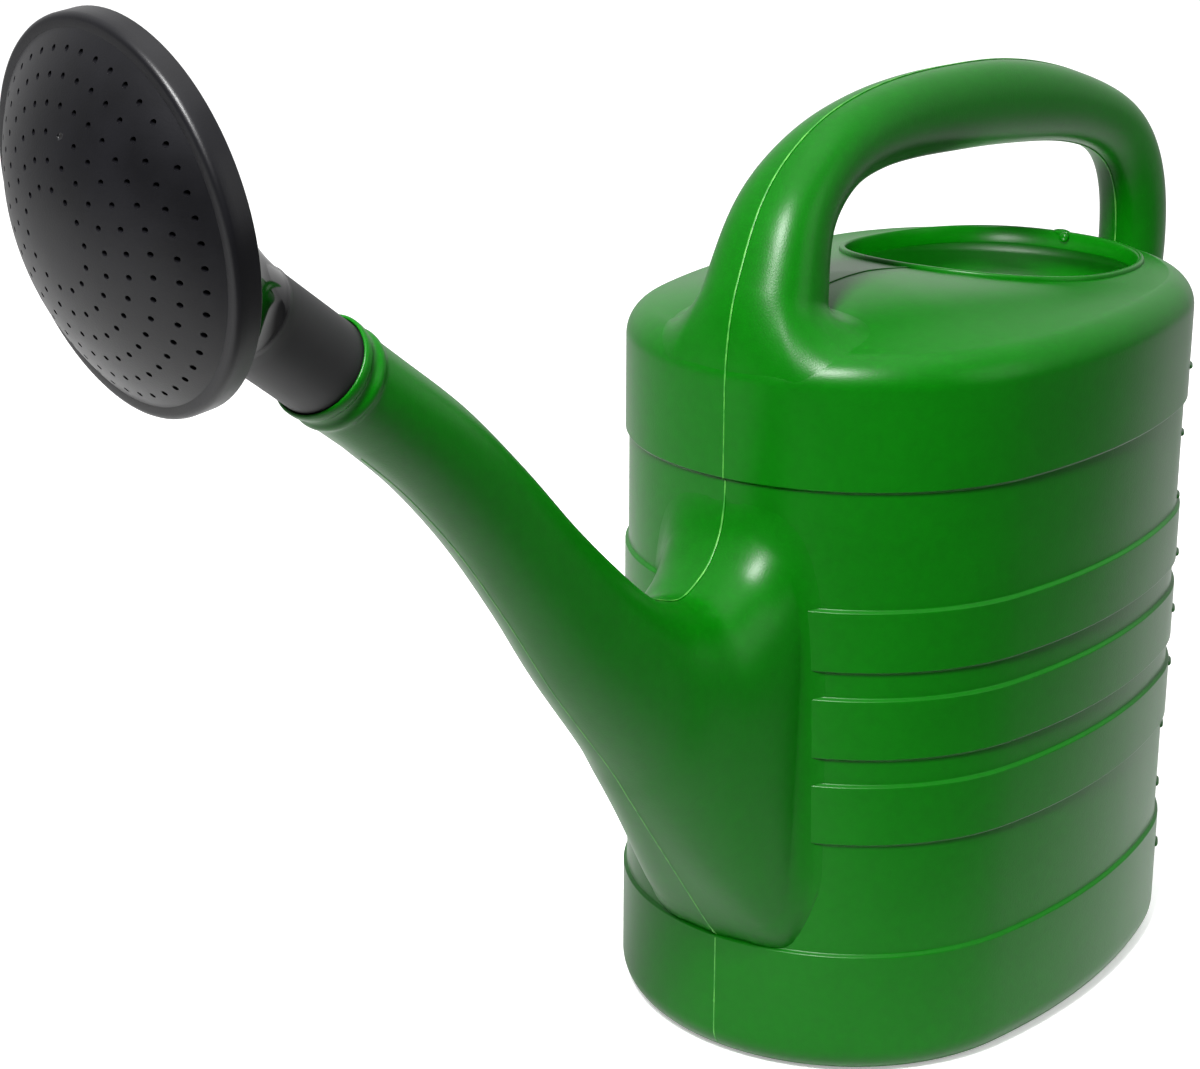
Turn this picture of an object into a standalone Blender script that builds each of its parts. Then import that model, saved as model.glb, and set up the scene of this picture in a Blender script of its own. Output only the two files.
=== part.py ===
"""Ten-litre garden watering can: one blow-moulded can (tank, spout, handle) and a push-fit sprinkler rose.

Metres, +Z up. +X is the pouring direction, the can stands on Z = 0 with the tank centred on the origin.
"""
import math

import bmesh
import bpy
import numpy as np

MM = 0.001

# ---- tank -------------------------------------------------------------------------------------------
TANK_HALF_LENGTH = 131.0 * MM
TANK_HALF_WIDTH = 92.7 * MM
TANK_END_RADIUS = 0.949 * TANK_HALF_WIDTH
WALL = 1.6 * MM
BAND_PROUD = 1.4 * MM            # the foot, the three bands and the shoulder stand out by this much
LEDGE_RISE = 1.0 * MM            # height of each small step
BASE_EDGE_RADIUS = 12.0 * MM
FOOT_TOP = 51.0 * MM
BAND_HEIGHT = 22.6 * MM
BAND_LOW = 98.0 * MM
BAND_MID = 132.3 * MM
BAND_HIGH = 166.6 * MM
SHOULDER_BEND = 272.0 * MM       # where the wall starts to turn in
SHOULDER_LOW = SHOULDER_BEND - 36.5 * MM
SHOULDER_RADIUS = 13.0 * MM
SHOULDER_TURNS = (0.0, 18.0, 36.0, 54.0, 80.0)   # degrees turned in, one for each ring
DECK_CROWN = 6.0 * MM            # rise of the deck in front of the filling hole
DECK_STEPS = 4
# the tank is one moulding, kept as three solids parted at these heights
BASE_PART_TOP = FOOT_TOP + 3.0 * MM
WALL_PART_TOP = SHOULDER_LOW - 3.0 * MM

# ---- filling hole -----------------------------------------------------------------------------------
MOUTH_HALF_LENGTH = 60.5 * MM
MOUTH_HALF_WIDTH = 0.61 * TANK_HALF_WIDTH
MOUTH_BEHIND = 14.5 * MM         # deck left between the hole and the back of the tank
MOUTH_CENTRE_X = MOUTH_BEHIND + MOUTH_HALF_LENGTH - TANK_HALF_LENGTH
MOUTH_HEIGHT = SHOULDER_BEND + 16.5 * MM
MOUTH_FRONT_RISE = 3.2 * MM
MOUTH_SIDE_DROP = 2.4 * MM
LIP_HEIGHT = 1.6 * MM
LIP_WIDTH = 2.6 * MM
LIP_DEPTH = 6.0 * MM

# ---- rose neck and spout end -------------------------------------------------------------------------
CLEARANCE = 0.3 * MM             # gap between every two solids that meet
NECK_RADIUS = 15.5 * MM
PLUG_RADIUS = NECK_RADIUS - 1.8 * MM
SEAT_DEPTH = 3.0 * MM            # how far the neck sits into the end of the spout
LIP_RING = 0.8 * MM              # rim and bead on the end of the spout
SPOUT_END_RADIUS = NECK_RADIUS + 0.7 * MM
SPOUT_REACH = 210.0 * MM         # from the front of the tank to the middle of the spout's end
SPOUT_END_Z = 319.4 * MM
SPOUT_END_SLOPE = math.radians(36.0)
SPOUT_END_STRAIGHT = 28.0 * MM
SPOUT_END_X = TANK_HALF_LENGTH + SPOUT_REACH
# rim, groove and bead on the spout: mm back from the end, share of LIP_RING
BEADS = ((0.0, 0.4), (1.2, 1.0), (3.6, 0.9), (5.0, -0.2), (7.0, -0.1), (9.0, 1.0), (11.0, 0.9), (13.5, 0.0))

# ---- spout: its upper and lower edge in the seam plane, from the bend to the tank ------------------------
# mm out from the front of the tank and mm above the ground; half widths in mm;
# power 2 is an oval, 4 is nearly a rectangle
UPPER_OUT = (150.8, 122.7, 94.4, 64.9, 49.0, 37.6, 27.2, 18.0, 9.5, 3.0, -2.5, -9.0)
UPPER_Z = (295.8, 269.9, 241.4, 214.7, 203.0, 198.0, 195.8, 198.8, 204.5, 213.5, 224.0, 231.0)
LOWER_OUT = (173.3, 148.0, 123.6, 100.5, 69.5, 57.0, 42.0, 29.6, 19.4, 11.4, 3.0, -9.0)
LOWER_Z = (270.2, 244.0, 213.3, 182.0, 144.5, 127.5, 107.0, 90.0, 76.0, 65.0, 56.0, 54.0)
SPOUT_WIDE = (16.7, 17.2, 18.8, 22.0, 25.5, 28.0, 30.0, 31.7, 33.0, 33.8, 34.3, 34.0)
SPOUT_POWER = (2.05, 2.1, 2.1, 2.15, 2.25, 2.35, 2.6, 3.0, 3.3, 3.6, 3.8, 3.8)
SPOUT_RINGS = 20
SPOUT_SIDES = 28
PASSAGE_CENTRE_Z = 140.0 * MM    # the hole through the tank wall behind the spout's foot
PASSAGE_HALF_HEIGHT = 74.0 * MM
PASSAGE_HALF_WIDTH = 28.0 * MM
PASSAGE_BEHIND = 30.0 * MM       # how far its cutter reaches behind and in front of the tank's front
PASSAGE_AHEAD = 15.0 * MM

# ---- handle: centre line and half sizes in mm, front foot first ------------------------------------------
HANDLE_SPAN = TANK_HALF_LENGTH / (131.0 * MM)   # the stations below stretch with the tank
HANDLE_LIFT = SHOULDER_BEND - 272.0 * MM        # and rise with its shoulder
HANDLE_X = (103, 107, 97, 73, 44, 14, -18, -51, -80, -106, -128,
            -147, -163, -175, -183, -186.5, -185, -176, -155, -129, -108)
HANDLE_Z = (262, 292, 326, 343, 350, 352, 351.5, 350, 347, 343, 338,
            332, 324, 313, 298, 280, 259, 236, 215, 203, 198)
HANDLE_DEEP = (30, 21, 16, 14.4, 15, 16, 16.8, 17, 16.4, 15.2, 14.2,
               13.8, 14.2, 15, 15.8, 16.3, 16.4, 16.2, 16.5, 19, 24)
HANDLE_WIDE = (34, 25, 19, 15.6, 13.6, 12.6, 12.2, 12, 12, 12, 12,
               12.2, 12.6, 13, 13.3, 13.5, 13.6, 14, 15.5, 18, 24)
HANDLE_WALL = 1.9 * MM
HANDLE_RINGS = 34
HANDLE_POWER = 2.35              # 2 is an oval, more is squarer
LEG_HOLE_REACH = 16.0 * MM
LEG_HOLE_RADIUS = 9.0 * MM       # the hollow handle opens into the tank through these

# ---- rose -------------------------------------------------------------------------------------------
PLUG_LENGTH = 24.0 * MM
NECK_LENGTH = 36.0 * MM
ROSE_WALL = 2.0 * MM
ROSE_BEND = math.radians(45.3)   # angle between the neck and the direction the rose faces
ROSE_TWIST = math.radians(-14.0)  # how far the rose stands turned about its neck
ROSE_OUT = 89.5 * MM             # rim plane centre, along the neck from the end of the spout
ROSE_ASIDE = -3.9 * MM
RIM_RADIUS = 56.0 * MM
RIM_DEPTH = 7.0 * MM
RIM_WALL = 1.8 * MM
FUNNEL_RINGS = 8
FUNNEL_LEAVE = 0.75              # how strongly the funnel runs on along the neck, and how it meets the rim
FUNNEL_ARRIVE = 0.9
FUNNEL_FLARE = (0.8, 0.45)       # outward and forward share of its direction at the rim
RIM_ROUND = 1.6 * MM
PLUG_CHAMFER = 0.8 * MM
FACE_RADIUS = RIM_RADIUS - 4.0 * MM
FACE_RISE = 18.3 * MM
FACE_WALL = 1.8 * MM
FACE_OUTSIDE = (0.0385, 0.2019, 0.3365, 0.4712, 0.6058, 0.7346, 0.8558, 0.9519)
FACE_INSIDE = (0.8558, 0.6538, 0.4615, 0.2692, 0.0769)
# rings of the face's outside and inside, as shares of its radius
SPRAY_HOLE_RADIUS = 0.85 * MM
SPRAY_RINGS = ((0.269, 14), (0.404, 20), (0.538, 27), (0.669, 34), (0.796, 40), (0.913, 45))
# each ring of spray holes: share of the face radius, number of holes


def clear_scene():
    """Starts from an empty scene."""
    for obj in list(bpy.data.objects):
        bpy.data.objects.remove(obj, do_unlink=True)


def material(name, rgb, roughness):
    """Moulded plastic: one colour, no metal."""
    mat = bpy.data.materials.new(name)
    mat.use_nodes = True
    shader = mat.node_tree.nodes["Principled BSDF"]
    shader.inputs["Base Color"].default_value = (*rgb, 1.0)
    shader.inputs["Roughness"].default_value = roughness
    shader.inputs["Metallic"].default_value = 0.0
    mat.diffuse_color = (*rgb, 1.0)
    return mat


def make_object(name, mesh, mat, smooth=40.0):
    """A named object of one material, shaded smooth up to an angle."""
    obj = bpy.data.objects.new(name, mesh)
    bpy.context.scene.collection.objects.link(obj)
    mesh.materials.clear()
    mesh.materials.append(mat)
    mesh.polygons.foreach_set("use_smooth", [True] * len(mesh.polygons))
    if smooth:
        mesh.set_sharp_from_angle(angle=math.radians(smooth))
    return obj


def loft(name, rings, closed=False):
    """A closed solid through rings of equal length; ends are capped, or the last ring joins the first."""
    rings = np.asarray(rings)
    count, around = rings.shape[:2]
    bm = bmesh.new()
    grid = [[bm.verts.new(p) for p in ring] for ring in rings]
    last = count if closed else count - 1
    for i in range(last):
        low = grid[i]
        high = grid[(i + 1) % count]
        for k in range(around):
            j = (k + 1) % around
            bm.faces.new((low[k], low[j], high[j], high[k]))
    if not closed:
        for ring in (grid[0], grid[-1]):
            centre = bm.verts.new(sum((v.co for v in ring), ring[0].co * 0) / around)
            for k in range(around):
                bm.faces.new((ring[k], ring[(k + 1) % around], centre))
    bmesh.ops.recalc_face_normals(bm, faces=bm.faces)
    if bm.calc_volume(signed=True) < 0:
        bmesh.ops.reverse_faces(bm, faces=bm.faces)
    mesh = bpy.data.meshes.new(name)
    bm.to_mesh(mesh)
    bm.free()
    return mesh


def cut(obj, meshes, operation="DIFFERENCE"):
    """Applies boolean steps with throwaway cutters."""
    for mesh in meshes:
        tool = bpy.data.objects.new("cutter", mesh)
        bpy.context.scene.collection.objects.link(tool)
        tool.hide_render = True
        tool.display_type = "WIRE"
        step = obj.modifiers.new("cut", "BOOLEAN")
        step.operation = operation
        step.solver = "EXACT"
        step.object = tool
        depsgraph = bpy.context.evaluated_depsgraph_get()
        solid = bpy.data.meshes.new_from_object(obj.evaluated_get(depsgraph))
        obj.modifiers.clear()
        old = obj.data
        solid.name = old.name
        obj.data = solid
        bpy.data.meshes.remove(old)
        bpy.data.objects.remove(tool, do_unlink=True)
        bpy.data.meshes.remove(mesh)


def tidy(obj, mat, distance=0.00002, smooth=40.0):
    """Joins doubled points left by the cuts and splits faces into triangles."""
    bm = bmesh.new()
    bm.from_mesh(obj.data)
    bmesh.ops.remove_doubles(bm, verts=bm.verts, dist=distance)
    bmesh.ops.dissolve_degenerate(bm, edges=bm.edges, dist=distance)
    bmesh.ops.triangulate(bm, faces=bm.faces)
    bmesh.ops.recalc_face_normals(bm, faces=bm.faces)
    bm.to_mesh(obj.data)
    bm.free()
    obj.data.materials.clear()
    obj.data.materials.append(mat)
    obj.data.polygons.foreach_set("use_smooth", [True] * len(obj.data.polygons))
    obj.data.set_sharp_from_angle(angle=math.radians(smooth))


# ---- tank -------------------------------------------------------------------------------------------
def oval(offset, n_end=22, n_side=8):
    """Four-centre oval, moved outwards by offset: two end arcs joined to two flat side arcs."""
    end = TANK_HALF_LENGTH - TANK_END_RADIUS
    side_radius = end**2 + TANK_HALF_WIDTH**2 - TANK_END_RADIUS**2
    side_radius /= 2 * (TANK_HALF_WIDTH - TANK_END_RADIUS)
    side = side_radius - TANK_HALF_WIDTH
    turn = math.atan2(side, end)
    front = np.linspace(-turn, turn, n_end, endpoint=False)
    left = np.linspace(turn, math.pi - turn, n_side, endpoint=False)
    angle = np.concatenate([front, left, front + math.pi, left + math.pi])
    radius = np.full(angle.shape, TANK_END_RADIUS)
    cx = np.full(angle.shape, end)
    cy = np.zeros(angle.shape)
    radius[n_end:n_end + n_side] = side_radius
    cx[n_end:n_end + n_side] = 0.0
    cy[n_end:n_end + n_side] = -side
    cx[n_end + n_side:2 * n_end + n_side] = -end
    radius[2 * n_end + n_side:] = side_radius
    cx[2 * n_end + n_side:] = 0.0
    cy[2 * n_end + n_side:] = side
    return np.stack([cx + (radius + offset) * np.cos(angle), cy + (radius + offset) * np.sin(angle)], -1)


def level(offset, z):
    """The oval as a ring at one height."""
    flat = oval(offset)
    return np.column_stack([flat, np.full(len(flat), z)])


def mouth(offset, lift):
    """Rim of the filling hole: an oval with its front a little higher and its sides a little lower."""
    ring = oval(0.0)
    angle = np.arctan2(ring[:, 1], ring[:, 0] - MOUTH_CENTRE_X)
    power = 2.3 - 0.25 * np.cos(angle)
    a = MOUTH_HALF_LENGTH + offset
    b = MOUTH_HALF_WIDTH + offset
    reach = (np.abs(np.cos(angle) / a) ** power + np.abs(np.sin(angle) / b) ** power) ** (-1 / power)
    x = MOUTH_CENTRE_X + reach * np.cos(angle)
    y = reach * np.sin(angle)
    along = (x - MOUTH_CENTRE_X) / MOUTH_HALF_LENGTH
    z = MOUTH_HEIGHT + MOUTH_FRONT_RISE * along - MOUTH_SIDE_DROP * (y / MOUTH_HALF_WIDTH) ** 2 + lift
    return np.column_stack([x, y, z])


def shoulder(inset, drop):
    """Rings of the rounded shoulder, from the upright wall to the edge of the deck."""
    rings = []
    for turn in SHOULDER_TURNS:
        t = math.radians(turn)
        reach = (SHOULDER_RADIUS - inset) * (1 - math.cos(t)) + inset
        rise = (SHOULDER_RADIUS - inset) * math.sin(t)
        rings.append(level(BAND_PROUD - reach, SHOULDER_BEND + rise - drop))
    return rings


def deck(start, end, steps, drop):
    """The deck: from the shoulder to the rim of the hole, crowned where it is wide."""
    rings = []
    width = np.linalg.norm(start[:, :2] - end[:, :2], axis=1)
    crown = DECK_CROWN * np.clip((width - 0.02) / 0.09, 0, 1)
    for s in range(1, steps):
        v = s / steps
        ring = start + (end - start) * v
        ring[:, 2] += crown * 4 * v * (1 - v) - drop
        rings.append(ring)
    return rings


def tank_outside(grow=0.0):
    """The upright wall from ground to shoulder, with its foot and proud bands, moved outwards by grow."""
    rings = []
    for turn in (90.0, 66.0, 44.0, 22.0, 0.0):
        t = math.radians(turn)
        inset = BASE_EDGE_RADIUS * (1 - math.cos(t))
        drop = BASE_EDGE_RADIUS * (1 - math.sin(t))
        rings.append(level(BAND_PROUD - inset + grow, drop))
    rings.append(level(BAND_PROUD + grow, FOOT_TOP))
    rings.append(level(grow, FOOT_TOP + LEDGE_RISE))
    for low in (BAND_LOW, BAND_MID, BAND_HIGH):
        high = low + BAND_HEIGHT
        rings.append(level(grow, low - LEDGE_RISE))
        rings.append(level(BAND_PROUD + grow, low))
        rings.append(level(BAND_PROUD + grow, high))
        rings.append(level(grow, high + LEDGE_RISE))
    rings.append(level(grow, SHOULDER_LOW - LEDGE_RISE))
    rings.append(level(BAND_PROUD + grow, SHOULDER_LOW))
    return rings


def grown_tank(gap):
    """The tank's outside grown by a gap, as one closed block, for trimming what is moulded onto it."""
    rise = np.array([0.0, 0.0, gap])
    rings = tank_outside(gap) + shoulder(-gap, 0.0)
    start = rings[-1] + rise / 2
    end = mouth(LIP_WIDTH, 0.0)
    rings += [ring + rise for ring in deck(start, end, DECK_STEPS, 0.0)]
    rings.append(end + rise)
    return loft("grown_tank", rings)


def slab(bottom, top):
    """A block wider than the tank between two heights, for parting it."""
    x = 2 * TANK_HALF_LENGTH
    y = 2 * TANK_HALF_WIDTH
    corners = np.array([(-x, -y), (x, -y), (x, y), (-x, y)])
    return loft("slab", [np.column_stack([corners, np.full(4, z)]) for z in (bottom, top)])


def build_tank(mat):
    """One loft: out along the base, up the outside, over the deck and lip, and back down the inside.
    It is then parted into the base pan, the upright wall, and the shoulder with the deck."""
    base = level(-0.5 * TANK_HALF_WIDTH, 0.0)
    top = shoulder(0.0, 0.0)
    rim = mouth(LIP_WIDTH, 0.0)
    rings = [base] + tank_outside() + top + deck(top[-1], rim, DECK_STEPS, 0.0)
    lip = [rim, mouth(0.8 * LIP_WIDTH, LIP_HEIGHT), mouth(0.2 * LIP_WIDTH, LIP_HEIGHT)]
    lip.append(mouth(0.0, 0.5 * LIP_HEIGHT))
    under_lip = mouth(0.7 * LIP_WIDTH, -WALL)
    lip += [mouth(0.0, -LIP_DEPTH), mouth(0.7 * LIP_WIDTH, -LIP_DEPTH), under_lip]
    inner_top = shoulder(WALL, 0.5 * WALL)
    chamfer = WALL + 0.3 * BASE_EDGE_RADIUS
    inside = [level(-BASE_EDGE_RADIUS, WALL), level(-chamfer, chamfer)]
    inside += [level(-WALL, height) for height in (BASE_EDGE_RADIUS, FOOT_TOP + LEDGE_RISE, SHOULDER_LOW)]
    inside += inner_top + deck(inner_top[-1], under_lip, DECK_STEPS, 0.0)
    rings += lip + inside[::-1] + [level(-0.5 * TANK_HALF_WIDTH, WALL)]
    shell = make_object("tank_shell", loft("tank_shell", rings), mat)
    front = leg_hole(HANDLE_X[1] * HANDLE_SPAN * MM, HANDLE_Z[1] * MM + HANDLE_LIFT, (0, 0, 1))
    back = leg_hole(-TANK_HALF_LENGTH, HANDLE_Z[-2] * MM + HANDLE_LIFT, (-1, 0, 0))
    cut(shell, [passage(), front, back])
    beyond = 2 * SHOULDER_BEND
    parts = (("can_base", -BASE_EDGE_RADIUS, BASE_PART_TOP),
             ("can_wall", BASE_PART_TOP + CLEARANCE, WALL_PART_TOP),
             ("can_shoulder", WALL_PART_TOP + CLEARANCE, beyond))
    for name, bottom, top in parts:
        obj = make_object(name, shell.data.copy(), mat)
        obj.data.name = name
        cut(obj, [slab(bottom, top)], "INTERSECT")
        tidy(obj, mat)
    bpy.data.objects.remove(shell, do_unlink=True)


def tube_rings(centre, direction, radii, stops, n=24):
    """Round rings about a straight axis: one radius at each stop along it."""
    axis = np.array(direction, float) / np.linalg.norm(direction)
    side = np.array([0.0, 1.0, 0.0])
    other = np.cross(axis, side)
    t = np.linspace(0, 2 * math.pi, n, endpoint=False)[:, None]
    round_ = np.cos(t) * side + np.sin(t) * other
    return [np.array(centre) + axis * s + round_ * r for r, s in zip(radii, stops)]


def leg_hole(x, z, direction):
    """Cutter for the hole by which a leg of the hollow handle opens into the tank."""
    stops = [-LEG_HOLE_REACH, LEG_HOLE_REACH]
    return loft("leg_hole", tube_rings((x, 0.0, z), direction, [LEG_HOLE_RADIUS] * 2, stops, 16))


def passage():
    """Cutter for the hole through the tank wall behind the spout's foot."""
    up, across = superellipse(SPOUT_POWER[-1])
    rings = []
    for x in (TANK_HALF_LENGTH - PASSAGE_BEHIND, TANK_HALF_LENGTH + PASSAGE_AHEAD):
        y = PASSAGE_HALF_WIDTH * across
        z = PASSAGE_CENTRE_Z + PASSAGE_HALF_HEIGHT * up
        rings.append(np.column_stack([np.full(y.shape, x), y, z]))
    return loft("passage", rings)


# ---- spout ------------------------------------------------------------------------------------------
def superellipse(power, n=SPOUT_SIDES):
    """Unit outline from the top round by +Y, as (up, across)."""
    t = np.linspace(0, 2 * math.pi, n, endpoint=False)
    up = np.sign(np.cos(t)) * np.abs(np.cos(t)) ** (2 / power)
    across = np.sign(np.sin(t)) * np.abs(np.sin(t)) ** (2 / power)
    return up, across


def smooth_value(t, values):
    """A smooth curve through evenly spaced values."""
    values = np.asarray(values, float)
    last = len(values) - 1
    i = min(int(t * last), last - 1)
    f = t * last - i
    before = values[max(i - 1, 0)]
    after = values[min(i + 2, last)]
    m0 = (values[i + 1] - before) / 2
    m1 = (after - values[i]) / 2
    h00 = 2 * f**3 - 3 * f**2 + 1
    h10 = f**3 - 2 * f**2 + f
    h01 = -2 * f**3 + 3 * f**2
    h11 = f**3 - f**2
    return h00 * values[i] + h10 * m0 + h01 * values[i + 1] + h11 * m1


def section(upper, lower, half_width, power, wrap):
    """Cross-section between a point on each edge of the spout; wrap bends it round the tank."""
    up, across = superellipse(power)
    middle = (upper + lower) / 2
    half = (upper - lower) / 2
    y = half_width * across
    back = wrap * (TANK_END_RADIUS - np.sqrt(TANK_END_RADIUS**2 - y**2))
    return np.column_stack([middle[0] + half[0] * up - back, y, middle[1] + half[1] * up])


def straight_end(s, radius):
    """Round section s metres back from the end of the spout."""
    a = SPOUT_END_SLOPE
    middle = np.array([SPOUT_END_X - s * math.cos(a), SPOUT_END_Z - s * math.sin(a)])
    half = radius * np.array([-math.sin(a), math.cos(a)])
    return section(middle + half, middle - half, radius, 2.0, 0.0)


def spout_rings(inset):
    """The bend and the foot, as sections between the upper and lower edges, drawn in by inset."""
    a = SPOUT_END_SLOPE
    half = SPOUT_END_RADIUS * np.array([-math.sin(a), math.cos(a)])
    end = np.array([SPOUT_END_X, SPOUT_END_Z]) - SPOUT_END_STRAIGHT * np.array([math.cos(a), math.sin(a)])
    upper_x = [end[0] + half[0]] + [TANK_HALF_LENGTH + v * MM for v in UPPER_OUT]
    upper_z = [end[1] + half[1]] + [v * MM for v in UPPER_Z]
    lower_x = [end[0] - half[0]] + [TANK_HALF_LENGTH + v * MM for v in LOWER_OUT]
    lower_z = [end[1] - half[1]] + [v * MM for v in LOWER_Z]
    wide = [SPOUT_END_RADIUS] + [v * MM for v in SPOUT_WIDE]
    powers = (2.0,) + SPOUT_POWER
    rings = []
    for t in np.linspace(0.0, 1.0, SPOUT_RINGS):
        upper = np.array([smooth_value(t, upper_x), smooth_value(t, upper_z)])
        lower = np.array([smooth_value(t, lower_x), smooth_value(t, lower_z)])
        draw = inset * (upper - lower) / np.linalg.norm(upper - lower)
        wrap = min(max((t - 0.45) / 0.4, 0.0), 1.0)
        half_width = smooth_value(t, wide) - inset
        rings.append(section(upper - draw, lower + draw, half_width, smooth_value(t, powers), wrap))
    return rings


def build_spout(mat):
    """A rim, a groove and a bead round the open end, then the bend and the foot; hollow throughout."""
    bore = PLUG_RADIUS + CLEARANCE
    seat = NECK_RADIUS + CLEARANCE
    outer = [straight_end(s * MM, SPOUT_END_RADIUS + height * LIP_RING) for s, height in BEADS]
    outer += spout_rings(0.0)
    inner = [straight_end(0.0, seat), straight_end(SEAT_DEPTH, seat)]
    inner += [straight_end(SEAT_DEPTH + 0.4 * MM, bore), straight_end(SPOUT_END_STRAIGHT - 2 * MM, bore)]
    inner += spout_rings(WALL)
    obj = make_object("can_spout", loft("can_spout", inner + outer[::-1], closed=True), mat)
    cut(obj, [grown_tank(CLEARANCE)])
    tidy(obj, mat)
    return obj


# ---- handle -----------------------------------------------------------------------------------------
def handle_rings(inset):
    """Oval sections square to the handle's centre line, drawn in by inset."""
    x = np.array(HANDLE_X) * MM * HANDLE_SPAN
    z = np.array(HANDLE_Z) * MM + HANDLE_LIFT
    rings = []
    up, across = superellipse(HANDLE_POWER, 20)
    for t in np.linspace(0.0, 1.0, HANDLE_RINGS):
        here = np.array([smooth_value(t, x), smooth_value(t, z)])
        step = 1e-3
        a = np.array([smooth_value(max(t - step, 0), x), smooth_value(max(t - step, 0), z)])
        b = np.array([smooth_value(min(t + step, 1), x), smooth_value(min(t + step, 1), z)])
        run = (b - a) / np.linalg.norm(b - a)
        normal = np.array([run[1], -run[0]])
        deep = smooth_value(t, HANDLE_DEEP) * MM - inset
        wide = smooth_value(t, HANDLE_WIDE) * MM - inset
        side = here + np.outer(deep * up, normal)
        rings.append(np.column_stack([side[:, 0], wide * across, side[:, 1]]))
    return rings


def build_handle(mat):
    """The hollow handle, trimmed where its two legs meet the tank."""
    outer = handle_rings(0.0)
    inner = handle_rings(HANDLE_WALL)
    obj = make_object("can_handle", loft("can_handle", outer + inner[::-1], closed=True), mat)
    cut(obj, [grown_tank(CLEARANCE)])
    tidy(obj, mat)
    return obj


# ---- rose -------------------------------------------------------------------------------------------
def rose_frame():
    """Neck line, the direction the rose faces, its sideways pair and the centre of the back of its rim."""
    a = SPOUT_END_SLOPE
    line = np.array([math.cos(a), 0.0, math.sin(a)])
    down = np.array([math.sin(a), 0.0, -math.cos(a)])
    lean = math.cos(ROSE_TWIST) * down + math.sin(ROSE_TWIST) * np.array([0.0, 1.0, 0.0])
    facing = math.cos(ROSE_BEND) * line + math.sin(ROSE_BEND) * lean
    across = np.cross(line, lean)
    upright = np.cross(facing, across)
    start = np.array([SPOUT_END_X, 0.0, SPOUT_END_Z])
    centre = start + ROSE_OUT * line + ROSE_ASIDE * lean
    return start, line, lean, facing, across, upright, centre


def neck_ring(s, radius, n=32):
    """Ring about the neck's line, s metres on from the end of the spout."""
    start, line, lean, facing, across, upright, centre = rose_frame()
    t = np.linspace(0, 2 * math.pi, n, endpoint=False)[:, None]
    return start + line * s + radius * (np.cos(t) * -lean + np.sin(t) * across)


def face_ring(h, radius, n=32):
    """Ring about the rose's own axis, h metres in front of the back of its rim."""
    start, line, lean, facing, across, upright, centre = rose_frame()
    t = np.linspace(0, 2 * math.pi, n, endpoint=False)[:, None]
    up = upright if np.dot(upright, -lean) > 0 else -upright
    return centre + facing * h + radius * (np.cos(t) * up + np.sin(t) * across)


def funnel_rings(inset):
    """The funnel: from the end of the round neck to the tilted rim, leaving the neck along its line."""
    start, line, lean, facing, across, upright, centre = rose_frame()
    first = neck_ring(NECK_LENGTH, NECK_RADIUS - inset)
    last = face_ring(inset * 0.6, RIM_RADIUS - RIM_WALL - CLEARANCE - inset)
    reach = np.linalg.norm(last - first, axis=1)[:, None]
    outward = last - centre
    outward = outward / np.linalg.norm(outward, axis=1)[:, None]
    rings = []
    arrive = FUNNEL_FLARE[0] * outward + FUNNEL_FLARE[1] * facing
    for v in np.linspace(0.0, 1.0, FUNNEL_RINGS):
        h00 = 2 * v**3 - 3 * v**2 + 1
        h10 = v**3 - 2 * v**2 + v
        h01 = -2 * v**3 + 3 * v**2
        h11 = v**3 - v**2
        ring = h00 * first + h10 * line * reach * FUNNEL_LEAVE
        rings.append(ring + h01 * last + h11 * arrive * reach * FUNNEL_ARRIVE)
    return rings


def build_funnel(mat):
    """The rose's body: a plug that pushes into the spout, a round neck and the funnel, hollow throughout."""
    rim = RIM_RADIUS - RIM_WALL - CLEARANCE
    shelf = CLEARANCE - SEAT_DEPTH
    edge = RIM_DEPTH - RIM_ROUND
    outer = [neck_ring(-PLUG_LENGTH, PLUG_RADIUS - PLUG_CHAMFER)]
    outer += [neck_ring(-PLUG_LENGTH + 1.5 * MM, PLUG_RADIUS), neck_ring(shelf, PLUG_RADIUS)]
    outer += [neck_ring(shelf, NECK_RADIUS), neck_ring(NECK_LENGTH * 0.5, NECK_RADIUS)]
    outer += funnel_rings(0.0) + [face_ring(edge, rim)]
    inner = [face_ring(edge, rim - ROSE_WALL)] + funnel_rings(ROSE_WALL)[::-1]
    inner += [neck_ring(-PLUG_LENGTH, PLUG_RADIUS - ROSE_WALL)]
    obj = make_object("rose_funnel", loft("rose_funnel", outer + inner, closed=True), mat)
    tidy(obj, mat)
    return obj


def face_height(radius):
    """Height of the domed face above the back of the rim: a soft dome that flattens towards its rim."""
    share = min(radius / FACE_RADIUS, 1.0)
    return RIM_DEPTH + FACE_RISE * (1 - share**2.22)


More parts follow.
